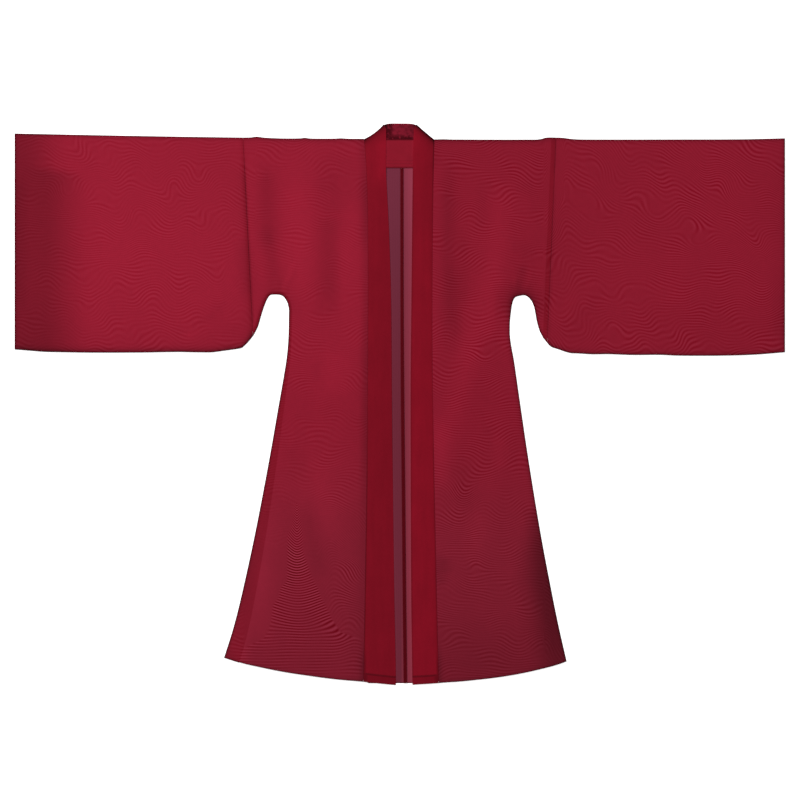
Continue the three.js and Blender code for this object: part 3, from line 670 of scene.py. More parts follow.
def left_shades(out, y, from_seam, from_side, off_armhole):
    """The shades of the left half, in the same form, with the armhole allowance's raw edge seen through."""
    past_armhole = np.maximum(off_armhole, 0)
    at_armhole = (off_armhole > 0) * (y > 0.10)
    band_gain = 0.02 - 0.10 * smoothstep(y, 0.575, 0.61)
    beside_band = 1 - smoothstep(from_seam, 0.0, 0.026)
    cuff_gain = -np.interp(y, (0.15, 0.18, 0.26, 0.36, 0.60), (0.04, 0.12, 0.13, 0.08, 0.04))
    cuff = smoothstep(out, 0.905, 0.962)
    armhole = np.exp(-(past_armhole / 0.120) ** 2) * at_armhole * smoothstep(y, 0.60, 0.42)
    seam_line = smoothstep(past_armhole, 0.009, 0.005) * at_armhole * smoothstep(y, 0.58, 0.50)
    sleeve_gain = np.interp(y, (0.15, 0.35, 0.60), (-0.01, 0.01, 0.04))
    outer_sleeve = smoothstep(out, 0.60, 0.72)
    side_gain = -np.interp(y, (-0.64, -0.44, -0.365, -0.29, -0.25), (0.47, 0.52, 0.48, 0.30, 0.0))
    reach = np.interp(y, (-0.44, -0.365, -0.29), (1.0, 0.75, 0.45))
    side = np.interp(from_side / reach, LEFT_SIDE_SHADE["away"], LEFT_SIDE_SHADE["share"])
    raw_edge = np.exp(-((off_armhole + 0.0112) / 0.0016) ** 2)
    raw_edge = raw_edge * smoothstep(y, 0.45, 0.40) * (y > 0.16)
    return ((band_gain, beside_band), (cuff_gain, cuff), (-0.05, armhole), (-0.07, seam_line),
            (sleeve_gain, outer_sleeve), (side_gain, side), (-0.06, raw_edge))


def painted_light_and_shade(half, x, y):
    """The painted light and shade on the cloth: its folds, the falling light and each half's shades."""
    light_and_tone = np.ones(np.shape(x))
    for fold_shade in FOLD_LIGHT_AND_SHADE:
        light_and_tone += fold_shade["gain"] * crease_share(fold_shade, x, y)
    out = half["sign"] * x
    name = "left" if half["sign"] > 0 else "right"
    falling = np.interp(y, FALLING_LIGHT["up"], FALLING_LIGHT[name])
    on_sleeve = np.interp(y, SLEEVE_LIGHT["up"], SLEEVE_LIGHT[name])
    light_and_tone *= mix(falling, on_sleeve, smoothstep(out, 0.36, 0.44))
    from_seam = out - half["seam_out"](y)
    from_side = distance_to(half["side_line"], x, y)
    shades = left_shades if half["sign"] > 0 else right_shades
    for gain, share in shades(out, y, from_seam, from_side, out - armhole_out(half, y)):
        light_and_tone *= 1 + gain * share
    under_arm = np.exp(-from_side / 0.020) * smoothstep(y, 0.19, 0.26) * (out < 0.37)
    light_and_tone *= 1 - half["under_arm_shade"] * under_arm
    # A painted shade at the foot of each band seam.
    band_foot_shade = np.exp(-(from_seam / 0.009) ** 2) * smoothstep(y, -0.57, -0.66)
    return light_and_tone * (1 - 0.27 * band_foot_shade)


# The watered pattern that two sheer layers make where they lie on each other: fine lines along
# the levels of a slowly changing field. It is counted in lines, and each line is a level of it.
wave_draw = np.random.RandomState(11)
WAVES = [(wave_draw.uniform(16, 78), wave_draw.uniform(0, math.pi), wave_draw.uniform(0, 2 * math.pi))
         for _ in range(26)]
HILLS = [dict(zip(("x", "y", "size", "height"), row)) for row in (
    (-0.845, 0.5175, 0.024, 0.040),
    (-0.700, 0.420, 0.030, 0.024),
    (-0.790, 0.225, 0.020, 0.028),
    (-0.560, 0.560, 0.026, -0.026),
    (-0.460, 0.300, 0.026, 0.026),
    (0.745, 0.390, 0.026, 0.046),
    (0.895, 0.385, 0.024, 0.042),
    (0.600, 0.300, 0.030, -0.036),
    (0.520, 0.540, 0.028, 0.030),
    (0.820, 0.560, 0.030, -0.030),
    (0.205, 0.110, 0.024, 0.030),
    (-0.1225, -0.505, 0.020, 0.015),
    (-0.105, -0.400, 0.018, -0.009),
    (0.160, -0.230, 0.024, 0.026),
    (0.190, -0.400, 0.018, -0.020),
)]
# Places where the pattern is strongest: their middle, how far they reach, and how strong they are.
CLEAR_PLACES = [dict(zip(("x", "y", "wide", "high", "more"), row)) for row in (
    (0.155, -0.230, 0.045, 0.090, 0.9),
    (0.180, -0.370, 0.022, 0.080, 0.9),
    (0.205, 0.110, 0.050, 0.060, 0.6),
    (0.230, 0.595, 0.130, 0.030, 0.5),
    (0.300, -0.470, 0.030, 0.090, 0.4),
    (-0.130, -0.430, 0.042, 0.140, 2.2),
    (-0.180, -0.225, 0.050, 0.030, 1.1),
    (-0.190, -0.150, 0.030, 0.060, 0.5),
    (-0.240, 0.100, 0.030, 0.060, 0.5),
    (-0.600, 0.350, 0.080, 0.120, 0.3),
    (0.750, 0.500, 0.150, 0.100, 0.3),
    (0.880, 0.300, 0.060, 0.120, 0.3),
    (0.560, 0.170, 0.120, 0.030, 0.4),
    (-0.370, 0.260, 0.085, 0.100, -0.5),
    (0.340, 0.300, 0.060, 0.080, -0.3),
)]
BELL_X = -0.2575
BELL_TOP = -0.2525
BELL_FIRST = 0.0060
BELL_GROW = 0.0035
# The bell's half-widths, how steeply its lines rise to the sides, and how rounded their bottoms are.
BELL = {"down": (0.0, 0.030, 0.055, 0.075, 0.115, 0.145, 0.190, 0.207, 0.232, 0.248, 0.290, 0.318, 0.335,
                 0.360, 0.430),
        "left": (0.006, 0.009, 0.014, 0.024, 0.025, 0.025, 0.026, 0.042, 0.046, 0.060, 0.066, 0.074,
                 0.086, 0.140, 0.156),
        "right": (0.006, 0.009, 0.013, 0.015, 0.016, 0.026, 0.044, 0.053, 0.062, 0.072, 0.092, 0.110,
                  0.162, 0.164, 0.165),
        "steep": (1.2, 1.2, 1.15, 1.0, 0.72, 0.55, 0.42, 0.42, 0.44, 0.46, 0.46, 0.14, 0.03, 0.0, 0.0),
        "round": (0.001, 0.0015, 0.002, 0.004, 0.008, 0.014, 0.026, 0.028, 0.034, 0.036, 0.052, 0.06,
                  0.06, 0.06, 0.06),
        "strong": (4.0, 7.0, 7.0, 6.6, 6.2, 5.8, 5.2, 5.0, 4.6, 4.2, 3.6, 3.2, 2.8, 2.2, 1.4)}


SLEEVE_FROM = 0.36
WIDE_LINES = {"sleeve": 0.0088, "body": 0.0076}
WIGGLE = 0.0030


def wandering(x, y):
    """How far the wide lines stray, by many long waves that cross each other."""
    total = np.zeros(np.shape(x))
    for rate, way, turn in WAVES:
        total += np.sin(rate * (x * math.cos(way) + y * math.sin(way)) + turn) * 14 / rate
    return 0.0085 * total


def watered_field(half, x, y):
    """The field whose levels are the wide lines of the watered pattern."""
    field = y + wandering(x, y) * np.where(np.abs(x) > SLEEVE_FROM, 1.1, 1.0)
    wiggle = np.sin(104 * x + 26 * y + 1.8 * np.sin(17 * y + 6 * x))
    wiggle = wiggle * (0.6 + 0.4 * np.sin(9 * x + 13 * y))
    field = field + WIGGLE * wiggle * smoothstep(np.abs(x), SLEEVE_FROM, 0.42)
    if half["sign"] > 0:
        slant = mix(-0.15, 0.50, smoothstep(y, 0.18, 0.62))
        field = field + (x - 0.67) * slant * smoothstep(x, SLEEVE_FROM, 0.42)
    else:
        slant = mix(0.85, -0.1, smoothstep(y, -0.40, -0.56))
        low_front = smoothstep(y, -0.22, -0.34) * smoothstep(x, -0.21, -0.16)
        field = field + (x + 0.13) * low_front * slant
    for hill in HILLS:
        away = ((x - hill["x"]) ** 2 + (y - hill["y"]) ** 2) / (2 * hill["size"] ** 2)
        field = field + hill["height"] * np.exp(-away)
    return field


def watered_levels(half, x, y):
    """The wide lines of the watered pattern, and how strong they are at each point. Where the
    field is almost level its lines spread, and are made weaker."""
    spacing = np.where(np.abs(x) > SLEEVE_FROM, WIDE_LINES["sleeve"], WIDE_LINES["body"])
    field = watered_field(half, x, y)
    step = 0.002
    slope_x = (watered_field(half, x + step, y) - field) / step
    slope_y = (watered_field(half, x, y + step) - field) / step
    spread = smoothstep(np.hypot(slope_x, slope_y), 0.20, 0.75)
    cloud = np.sin(x * 47 + 1.3 * np.sin(y * 31 + 1)) * np.sin(y * 53 + x * 9 + 1.1 * np.sin(x * 23))
    fading = 0.35 + 0.80 * smoothstep(cloud, -0.45, 0.55)
    if half["sign"] > 0:
        strength = np.where(x > 0.39, mix(0.88, 1.30, smoothstep(x, 0.55, 0.75)), 1.25)
    else:
        strength = np.where(x < -0.39, 0.70, np.interp(y, (-0.45, -0.30, -0.10), (0.05, 0.30, 0.70)))
    for place in CLEAR_PLACES:
        off_x = (x - place["x"]) / place["wide"]
        off_y = (y - place["y"]) / place["high"]
        strength = np.maximum(strength + place["more"] * np.exp(-off_x ** 2 - off_y ** 2), 0)
    return field / spacing, strength * fading * spread


def bell_measures(piece, x, y):
    """The measures of the bell: close nested lines in the lower part of the right front."""
    down = BELL_TOP - y
    for key in ("left", "right", "steep", "round"):
        measure(piece, f"bell_{key}", np.interp(down, BELL["down"], BELL[key]))
    strong = np.interp(down, BELL["down"], BELL["strong"])
    fading = 0.75 + 0.25 * np.sin(x * 60 + 2 * np.sin(y * 35))
    measure(piece, "bell_strong", strong * fading * (down > -0.004) * smoothstep(down, 0.440, 0.415))
    arch = 0.014 * np.exp(-((x + 0.115) / 0.030) ** 2)
    arch = arch * smoothstep(down, 0.28, 0.32) * smoothstep(down, 0.43, 0.36)
    measure(piece, "bell_drift", arch + 0.10 * wandering(x, y))


def bell_lines(tree, x, y):
    """The bell's lines, -1 to 1, and the share of them that shows."""
    down = calc("ADD", less(BELL_TOP, y), read(tree, "bell_drift"))
    off = less(x, BELL_X)
    rounded = read(tree, "bell_round")
    slant = calc("SQRT", calc("ADD", calc("POWER", calc("ABSOLUTE", off), 2.0), calc("POWER", rounded, 2.0)))
    depth = calc("ADD", down, times(less(slant, rounded), read(tree, "bell_steep")))
    ratio = larger(scaled(depth, BELL_GROW / BELL_FIRST, 1.0), 0.05)
    turns = times(calc("LOGARITHM", ratio, math.e), 2 * math.pi / BELL_GROW)
    left = read(tree, "bell_left")
    width = scaled(less(read(tree, "bell_right"), left), calc("GREATER_THAN", off, 0.0), left)
    shows = ramp(less(width, calc("ABSOLUTE", off)), -0.003, 0.006)
    return calc("SINE", turns), shows


def sheer_cloth(name):
    """The right side of the sheer cloth. What lies under it shows as a deeper red, and its edges
    are darker where it turns over or is sewn: partly the layers there, partly painted shade."""
    sheen = {"Sheen_Weight": 0.01, "Sheen_Roughness": 0.5, "Sheen_Tint": (0.9, 0.25, 0.3, 1)}
    material = new_material(name, Roughness=0.8, Specular_IOR_Level=CLOTH_GLOSS, **sheen)
    tree = material.node_tree
    x, y, point = plan_of(tree)
    colour = blend("MIX", ramp(y, -0.02, -0.42), CLOTH_RED, SKIRT_RED)
    under = larger(ramp(read(tree, "covered"), -0.0010, 0.0010), read(tree, "veiled"))
    colour = blend("MULTIPLY", under, colour, UNDER_TINT)
    # Along its edges: painted shade, and the deeper layers of its seams and hems.
    edge = near(read(tree, "edge"), 0.0028)
    colour = blend("MULTIPLY", calc("MINIMUM", edge, 1.0), colour, EDGE_TINT)
    bell_strong = read(tree, "bell_strong")
    bell, shows = bell_lines(tree, x, y)
    shows = times(shows, calc("MINIMUM", bell_strong, 1.0))
    wide = times(wave(read(tree, "watered"), 1.0), read(tree, "watered_depth"))
    pattern = calc("ADD", times(wide, less(1.0, shows)), times(times(bell, bell_strong), shows))
    settings = {"operation": "MULTIPLY_ADD"}
    lined = add_node(tree, "ShaderNodeVectorMath", settings, n0=LINES_MAUVE, n1=pattern, n2=colour)
    # Its own cloudy and speckled mottling, times the painted light and shade measured on the cloth.
    cloudy = scaled(soft_noise(point, 6.0, 3.0), 0.10, -0.05)
    speckle = scaled(soft_noise(point, 90.0, 2.0), 0.10, -0.05)
    light_and_tone = times(calc("ADD", calc("ADD", cloudy, speckle), 1.0), read(tree, "light_and_tone"))
    return finish_cloth(material, lined.outputs[0], light_and_tone, 0.00025)


def paint_measures(piece, half, covered, veiled, edge):
    """Gives a piece of the cloth the measures that its material reads."""
    x, y, z = corners(piece)
    measure(piece, "covered", covered)
    measure(piece, "veiled", veiled)
    measure(piece, "edge", edge)
    measure(piece, "light_and_tone", painted_light_and_shade(half, x, y))
    level, strength = watered_levels(half, x, y)
    measure(piece, "watered", level)
    measure(piece, "watered_depth", strength)


def cloth_inside(name):
    """The wrong side of the same cloth, where one layer alone shows greyer and duller."""
    material = new_material(name, Roughness=0.85, Specular_IOR_Level=CLOTH_GLOSS)
    tree = material.node_tree
    x, y, point = plan_of(tree)
    # The two back panels' wrong sides are one colour, painted darker on the right and lighter on the left as
    # light and shade.
    colour = blend("MIX", ramp(x, 0.002, 0.009), INNER_MAUVE, INNER_MAUVE_LEFT)
    colour = blend("MULTIPLY", ramp(y, 0.45, 0.0), colour, LOWER_TINT)
    streaks = wave(scaled(soft_noise(point, 3.0), 0.02, x), 0.0062)
    # Painted light beside the band's free edges, against the band's shadow. It is also made lighter or darker
    # by height, by the distance from the back seam and at the hem.
    beside_band = near(away_from(calc("ABSOLUTE", x), read(tree, "band_edge")), 0.0018)
    light_and_tone = times(scaled(streaks, 0.025, 1.0), ramp(y, 0.1, -0.55, 1.0, 1.04))
    light_and_tone = times(light_and_tone, scaled(beside_band, 0.28, 1.0))
    light_and_tone = times(light_and_tone, ramp(x, 0.008, 0.030, 0.93, 1.12))
    light_and_tone = times(light_and_tone, ramp(y, 0.35, 0.58, 1.0, 1.10))
    light_and_tone = times(light_and_tone, ramp(y, HEM_LOW + 0.009, HEM_LOW + 0.006, 1.0, 0.6))
    return finish_cloth(material, colour, light_and_tone, 0.00025)


right_side = sheer_cloth("sheer cloth")
wrong_side = cloth_inside("sheer cloth wrong side")

SIDE_TURN_IN = 0.040
SIDE_TURN_IN_TOP = 0.150
SEAM_ALLOWANCE = 0.008
ARMHOLE_ALLOWANCE = 0.0115


def side_strip_width(half, up):
    """How wide the side seam's turned-in edges are at a height."""
    start = half["side"]["up"][0] + BACK_HEM_SHORTER
    share = np.clip((SIDE_TURN_IN_TOP - up) / (SIDE_TURN_IN_TOP - start), 0, 1)
    return mix(SEAM_ALLOWANCE, SIDE_TURN_IN, share)


def from_seam_line(half, past_armhole, y):
    """The distance to the armhole seam, with the least that it counts as, so that its shade is soft."""
    if half["sign"] < 0:
        return np.abs(past_armhole) + 0.0056
    return np.abs(past_armhole) + 0.0042 + 0.0035 * smoothstep(y, 0.60, 0.56)


for name, half in HALVES.items():
    places, cut = body_places(half)
    body = cloth_sheet(f"body_{name}_cloth", places, cut, turned=half["sign"] > 0)
    body.data.materials.append(right_side)
    body.data.materials.append(wrong_side)
    give_thickness(body, SHELL, 1)
    x, y, z = corners(body)
    past_armhole = half["sign"] * x - armhole_out(half, y)
    if half["sign"] < 0:
        covered = side_strip_width(half, y) - distance_to(half["side_line"], x, y)
        veiled = 0.55 * smoothstep(past_armhole, -0.006, 0.0) * (y > 0.16)
    else:
        covered = np.minimum(ARMHOLE_ALLOWANCE + past_armhole, ARMHOLE_ALLOWANCE)
        covered = np.where(y > ARMHOLE_LOW, covered, -1)
        veiled = np.zeros(len(x))
    from_hem = np.maximum(y - half["hem_up"](half["sign"] * x), 0) * 0.95 + 0.0005
    seam_line = from_seam_line(half, past_armhole, y) + 0.02 * (y < ARMHOLE_LOW)
    edge = np.minimum(shaded_edge(half, x, y), from_hem)
    paint_measures(body, half, covered, veiled, np.minimum(edge, seam_line))
    measure(body, "band_edge", half["free_out"](y))
    if half["sign"] < 0:
        bell_measures(body, x, y)
    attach(body, "root")
    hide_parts(f"body_{name}")

# The two sleeves.
# Each is one length of the same cloth, folded along the top, sewn along the bottom and to the
# body at the armhole. The cuff is as wide as the sleeve is deep.


def sleeve_places(half):
    """Where each corner of a sleeve lies. Its rows run round the sleeve."""
    stations = np.concatenate([[0, 0.003, 0.008, 0.015], np.linspace(0.025, 0.985, 100), [0.993, 1]])
    ring = [("back", share, 0) for share in steps_of(60)]
    ring += [("top", 1, turn) for turn in steps_of(FOLD_STEPS)[1:-1]]
    ring += [("front", 1 - share, 0) for share in steps_of(100)]
    ring += [("bottom", 0, 1 - turn) for turn in steps_of(FOLD_STEPS)[1:-1]]
    places = []
    for layer, share, turn in ring + ring[:1]:
        armhole = mix(half["armhole_foot"][0], half["armhole_top"], share) + SEAM_GAP
        out = mix(armhole, half["cuff"], stations)
        low = half["bottom_up"](out) + FOLD_INSET
        high = half["shoulder_up"](out) - FOLD_INSET
        y = mix(low, high, share)
        x = half["sign"] * out
        if layer in ("top", "bottom"):
            y, z = folded_edge(half, x, y, turn, 1 if layer == "top" else -1)
        else:
            z = layer_height(half, layer, x, y)
        places.append(np.stack([x, y, z], axis=1))
    return places


for name, half in HALVES.items():
    sleeve = cloth_sheet(f"sleeve_{name}_cloth", sleeve_places(half), ring=True, turned=half["sign"] > 0)
    sleeve.data.materials.append(right_side)
    sleeve.data.materials.append(wrong_side)
    give_thickness(sleeve, SHELL, 1)
    x, y, z = corners(sleeve)
    past_armhole = half["sign"] * x - armhole_out(half, y)
    veiled = 0.80 * smoothstep(past_armhole, 0.013, 0.001) if half["sign"] < 0 else np.zeros(len(x))
    covered = np.full(len(x), -1.0)
    seam_line = from_seam_line(half, past_armhole, y)
    from_cuff = (half["cuff"] - half["sign"] * x) * 0.85 + 0.0002
    edge = np.minimum(np.minimum(shaded_edge(half, x, y), seam_line), from_cuff)
    paint_measures(sleeve, half, covered, veiled, edge)
    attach(sleeve, "root")
    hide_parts(f"sleeve_{name}")

# The turned-in edges of the side seams.
# They are the front and back panels' own edges, pressed flat between the two layers, narrow
# round the underarm and wider down the flared side.


def inset_line(line, sign, widths):
    """A line moved inwards by a width at each of its points."""
    line = np.array(line)
    along = np.gradient(line, axis=0)
    along /= np.linalg.norm(along, axis=1)[:, None]
    inward = np.stack([-along[:, 1], along[:, 0]], axis=1) * (1 if sign > 0 else -1)
    return line + inward * np.asarray(widths)[:, None]


STRIP_HEIGHT = 0.0016
STRIP_SHELL = 0.0005
STRIP_OUTER_IN = 0.0045
STRIP_DIP = 0.0003
SEAM_RED = (0.125, 0.0038, 0.0112, 1)


def seam_cloth(name, deep_red):
    """Several layers of the cloth pressed together, which look opaque and deeper red."""
    material = new_material(name, Roughness=0.85, Specular_IOR_Level=CLOTH_GLOSS)
    point = plan_of(material.node_tree)[2]
    return finish_cloth(material, deep_red, scaled(soft_noise(point, 60.0), 0.3, 0.85))


pressed_seam = seam_cloth("pressed seam", SEAM_RED)

for name, half in HALVES.items():
    line = half["side_line"][:-4]
    widths = side_strip_width(half, np.array(line)[:, 1])
    outer = inset_line(line, half["sign"], np.full(len(line), STRIP_OUTER_IN))
    inner = inset_line(line, half["sign"], widths)
    places = []
    for share in np.linspace(0, 1, 5):
        run = mix(outer, inner, share)
        height = STRIP_HEIGHT - STRIP_DIP * (1 - smoothstep(share, 0, 0.5))
        places.append(np.column_stack([run, np.full(len(run), height)]))
    strip = cloth_sheet(f"side_seam_{name}_cloth", places, turned=half["sign"] > 0)
    strip.data.materials.append(pressed_seam)
    give_thickness(strip, STRIP_SHELL, 0)
    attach(strip, "root")
    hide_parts(f"side_seam_{name}")

# The allowances of the armhole seams.
# The raw edges of the body and the sleeve, pressed flat between the two layers: towards the
# sleeve on the right and towards the body on the left.
ALLOWANCE_PAST_SEAM = 0.001
ALLOWANCE_ENDS = {"foot": 0.012, "top": 0.004}
for name, half in HALVES.items():
    foot = half["armhole_foot"][1] + ALLOWANCE_ENDS["foot"]
    top = half["shoulder_up"](half["armhole_top"]) - ALLOWANCE_ENDS["top"]
    ups = np.linspace(foot, top, 60)
    outs = armhole_out(half, ups)
    places = []
    for across in np.linspace(ALLOWANCE_PAST_SEAM * half["sign"], -ARMHOLE_ALLOWANCE * half["sign"], 5):
        places.append(np.column_stack([half["sign"] * (outs + across), ups, np.full(len(ups), STRIP_HEIGHT)]))
    strip = cloth_sheet(f"armhole_seam_{name}_cloth", places, turned=half["sign"] > 0)
    strip.data.materials.append(pressed_seam)
    give_thickness(strip, STRIP_SHELL, 0)
    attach(strip, "root")

# The seam down the middle of the back.
# It joins the two back panels. Its allowances are felled: folded over each other and stitched
# down along both edges, as far up as the facing of the neck.
FACING_DEPTH = 0.0712
FACING_TOP = NECKLINE_UP + 0.0015
BACK_SEAM_WIDTH = {"up": (-0.70, 0.0, 0.30), "width": (0.0084, 0.0080, 0.0072)}
BACK_SEAM_SHELL = 0.0007
BACK_SEAM_EDGE_HEIGHT = 0.0018
BACK_SEAM_HUMP = 0.0005
FELLED_RED = (0.074, 0.0006, 0.0034, 1)
seam_ups = np.linspace(HEM_LOW + BACK_HEM_SHORTER, FACING_TOP - FACING_DEPTH - SEAM_GAP, 160)
seam_middle = back_seam_x(seam_ups)
half_width = np.interp(seam_ups, BACK_SEAM_WIDTH["up"], BACK_SEAM_WIDTH["width"]) / 2
places = []
for share in np.linspace(-1, 1, 13):
    height = np.full(len(seam_ups), BACK_SEAM_EDGE_HEIGHT + BACK_SEAM_HUMP * (1 - share ** 6))
    places.append(np.column_stack([seam_middle + share * half_width, seam_ups, height]))
back_seam = cloth_sheet("back_seam_cloth", places, turned=True)
back_seam.data.materials.append(seam_cloth("felled back seam", FELLED_RED))
give_thickness(back_seam, BACK_SEAM_SHELL, 0)
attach(back_seam, "root")
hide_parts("back_seam")

# The facing inside the back of the neck.
# A small rectangle of the same cloth, turned under and topstitched to the back panels along its
# lower edge. Beside the band's two edges it is painted lighter.
FACING_HALF_WIDTH = 0.083
FACING_SHELL = 0.0006
FACING_HEIGHT = 0.0016
FACING_EDGE_RISE = 0.0004
FACING_WAVE = 0.00012
FACING_STITCH_ROWS = (0.0108, 0.0182)
FACING_RED = (0.206, 0.0064, 0.0172, 1)
FACING_DARK = (0.06, 0.0010, 0.004, 1)
BAND_EDGES_THERE = (-0.0352, 0.0330)
places = []
for share in np.concatenate([[0, 0.01, 0.02], np.linspace(0.04, 1, 26)]):
    xs = np.linspace(-FACING_HALF_WIDTH, FACING_HALF_WIDTH, 67)
    up = mix(FACING_TOP - FACING_DEPTH, FACING_TOP, share)
    low_edge = FACING_EDGE_RISE * smoothstep(share, 0, 0.02)
    wavy = FACING_WAVE * np.sin(xs * 190 + up * 60) * smoothstep(share, 0.1, 0.4)
    places.append(np.column_stack([xs, np.full(len(xs), up), FACING_HEIGHT + low_edge + wavy]))
facing = cloth_sheet("neck_facing_cloth", places)


def facing_cloth():
    """The same cloth, darker along its edges and rows of stitches, and painted lighter by the band's edges.
    """
    material = new_material("neck facing", Roughness=0.82, Specular_IOR_Level=CLOTH_GLOSS)
    x, y, point = plan_of(material.node_tree)
    from_edge = less(y, FACING_TOP - FACING_DEPTH)
    dark = ramp(from_edge, 0.0046, 0.0020, 0.0, 0.42)
    for row, depth in zip(FACING_STITCH_ROWS, (0.12, 0.10)):
        dark = larger(dark, ramp(away_from(from_edge, row), 0.0022, 0.0004, 0.0, depth))
    dark = larger(dark, ramp(y, FACING_TOP - 0.0035, FACING_TOP - 0.001, 0.0, 0.75))
    light_and_tone = scaled(soft_noise(point, 40.0), 0.2, 0.9)
    # Painted light beside the band's two edges, where they would shade the facing.
    for band_edge in BAND_EDGES_THERE:
        painted_light_by_band = near(away_from(x, band_edge), 0.0016)
        light_and_tone = times(light_and_tone, scaled(painted_light_by_band, 0.35, 1.0))
    return finish_cloth(material, blend("MIX", dark, FACING_RED, FACING_DARK), light_and_tone)


facing.data.materials.append(facing_cloth())
give_thickness(facing, FACING_SHELL, 0)
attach(facing, "root")
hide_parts("neck_facing")

# The collar and front band.
# One long strip, doubled over a stiffening layer. It borders both front edges, turns over a
# slanting fold on each side of the neck and stands behind it, here pressed flat.
BAND_THICKNESS = 0.002
BAND_UNDER = 0.0026
BAND_FOLD_RADIUS = (BAND_UNDER + BAND_THICKNESS) / 2
BAND_TOP_CURVE = 0.0038
# Across the band from its seam: how high its middle lies, and half its thickness.
BAND_MIDDLE = {"across": (0, 0.12, 0.6), "height": (0.0031, 0.0036, 0.0036)}
BAND_HALF = {"across": (0, 0.10, 0.80, 1), "thick": (0.0004, 0.0010, 0.0010, 0.0004)}
FREE_EDGE_HEIGHT = {"low": 0.0016, "on_facing": 0.0028}


def band_fold(half):
    """The slanting fold beside the neck: the line of its middle and the way it faces."""
    seam = np.array([half["sign"] * half["neck_seam"][0], half["neck_seam"][1]])
    free = np.array([half["sign"] * half["band_top"][0], half["band_top"][1]])
    along = (free - seam) / np.linalg.norm(free - seam)
    ahead = np.array([-along[1], along[0]]) * -half["sign"]
    return seam - ahead * BAND_FOLD_RADIUS, free - ahead * BAND_FOLD_RADIUS, ahead


def band_sag(half, across, share):
    """How far the slanting fold sags below its straight line, in the middle of its run."""
    return -band_fold(half)[2] * (half["band_sag"] * share * np.sin(math.pi * across) ** 0.8)


def band_rows():
    """The band's rows: for each, its seam edge, its free edge and how its thickness lies."""
    rows = []

    def front(half):
        seam_end, free_end = band_fold(half)[:2]
        made = []
        for up_share in np.concatenate([[0, 0.0015, 0.004], np.linspace(0.008, 1, 240)]):
            ends = []
            for which, top in (("seam_out", seam_end), ("free_out", free_end)):
                foot = half["hem_up"](half[which](HEM_LOW))
                up = mix(foot, top[1], up_share)
                x = half["sign"] * half[which](up)
                ends.append((mix(x, top[0], smoothstep(up_share, 0.992, 1)), up))
            folding = smoothstep(up_share, 0.975, 1)
            made.append({"ends": ends, "half": half, "layer": "front", "folding": folding})
        return made

    def fold(half):
        seam_end, free_end, ahead = band_fold(half)
        return [{"ends": (seam_end, free_end), "ahead": ahead, "turn": turn, "half": half, "layer": "fold"}
                for turn in reversed(steps_of(FOLD_STEPS)[1:-1])]

    right, left = HALVES["right"], HALVES["left"]
    rows += front(right) + fold(right)
    for share in np.linspace(0, 1, 25):
        seam_end = mix(band_fold(right)[0], band_fold(left)[0], share)
        free_end = mix(band_fold(right)[1], band_fold(left)[1], share)
        flat_part = 1 - (2 * share - 1) ** 6
        free_end = free_end + np.array([0, BAND_TOP_CURVE * flat_part])
        seam_up = mix(seam_end[1], NECKLINE_UP + SEAM_GAP, min(1.0, 3 * flat_part))
        seam_end = np.array([seam_end[0], seam_up])
        rows.append({"ends": (seam_end, free_end), "share": share, "layer": "back"})
    return rows + fold(left)[::-1] + front(left)[::-1]


# The band's cross-section: how far across it, from its seam, and which face, from 1, the upper, to
# -1, the lower.
FLAT_SHARES = (0.0, 0.012, 0.04, 0.1, 0.2, 0.3, 0.4, 0.5, 0.6, 0.7, 0.8, 0.9, 0.97)
BAND_PROFILE = [(share, 1.0) for share in FLAT_SHARES]
BAND_PROFILE += [(0.99, 0.85), (1.0, 0.5), (1.0, -0.5), (0.99, -0.85)]
BAND_PROFILE += [(share, -1.0) for share in reversed(FLAT_SHARES)]


def band_lie(across, up, folding):
    """Where the band's middle lies and half its thickness. It is thinnest along both edges, level
    with the cloth at its seam, and its free edge rests on the back, or on the facing."""
    on_facing = smoothstep(up, 0.555, 0.585)
    free_edge = mix(FREE_EDGE_HEIGHT["low"], FREE_EDGE_HEIGHT["on_facing"], on_facing)
    middle = np.interp(across, BAND_MIDDLE["across"], BAND_MIDDLE["height"])
    middle = mix(middle, free_edge, smoothstep(across, 0.45, 1.0))
    thick = np.interp(across, BAND_HALF["across"], BAND_HALF["thick"])
    flat_middle = BAND_UNDER + BAND_THICKNESS / 2
    return mix(middle, flat_middle, folding), mix(thick, BAND_THICKNESS / 2, folding)


def band_places():
    """Where each corner of the band's cross-section lies, row by row along the band."""
    profile = np.array(BAND_PROFILE + BAND_PROFILE[:1])
    across = profile[:, :1]
    face = profile[:, 1] * np.where(profile[:, 0] < 0.01, 0.8, 1.0)
    across_row = across[:, 0]
    half_thick = BAND_THICKNESS / 2
    places = []
    for row in band_rows():
        flat = mix(np.array(row["ends"][0]), np.array(row["ends"][1]), across)
        if row["layer"] == "fold":
            flat = flat + band_sag(row["half"], across, 1.0)
            angle = (row["turn"] - 0.5) * math.pi
            reach = BAND_FOLD_RADIUS - half_thick + face * half_thick
            flat = flat + row["ahead"] * (reach * math.cos(angle))[:, None]
            height = BAND_FOLD_RADIUS + reach * math.sin(angle)
        elif row["layer"] == "back":
            flat = flat + band_sag(HALVES["right"], across, smoothstep(row["share"], 0.3, 0))
            flat = flat + band_sag(HALVES["left"], across, smoothstep(row["share"], 0.7, 1))
            thin = mix(1.0, 0.58, smoothstep(across_row, 0.08, 0.0) * (0.05 < row["share"] < 0.95))
            height = thin * half_thick * (1 - face)
        else:
            flat = flat + band_sag(row["half"], across, row["folding"])
            middle, thick = band_lie(across_row, flat[:, 1], row["folding"])
            height = middle + lift(row["half"], flat[:, 0], flat[:, 1]) + face * thick
        places.append(np.column_stack([flat, height]))
    return places


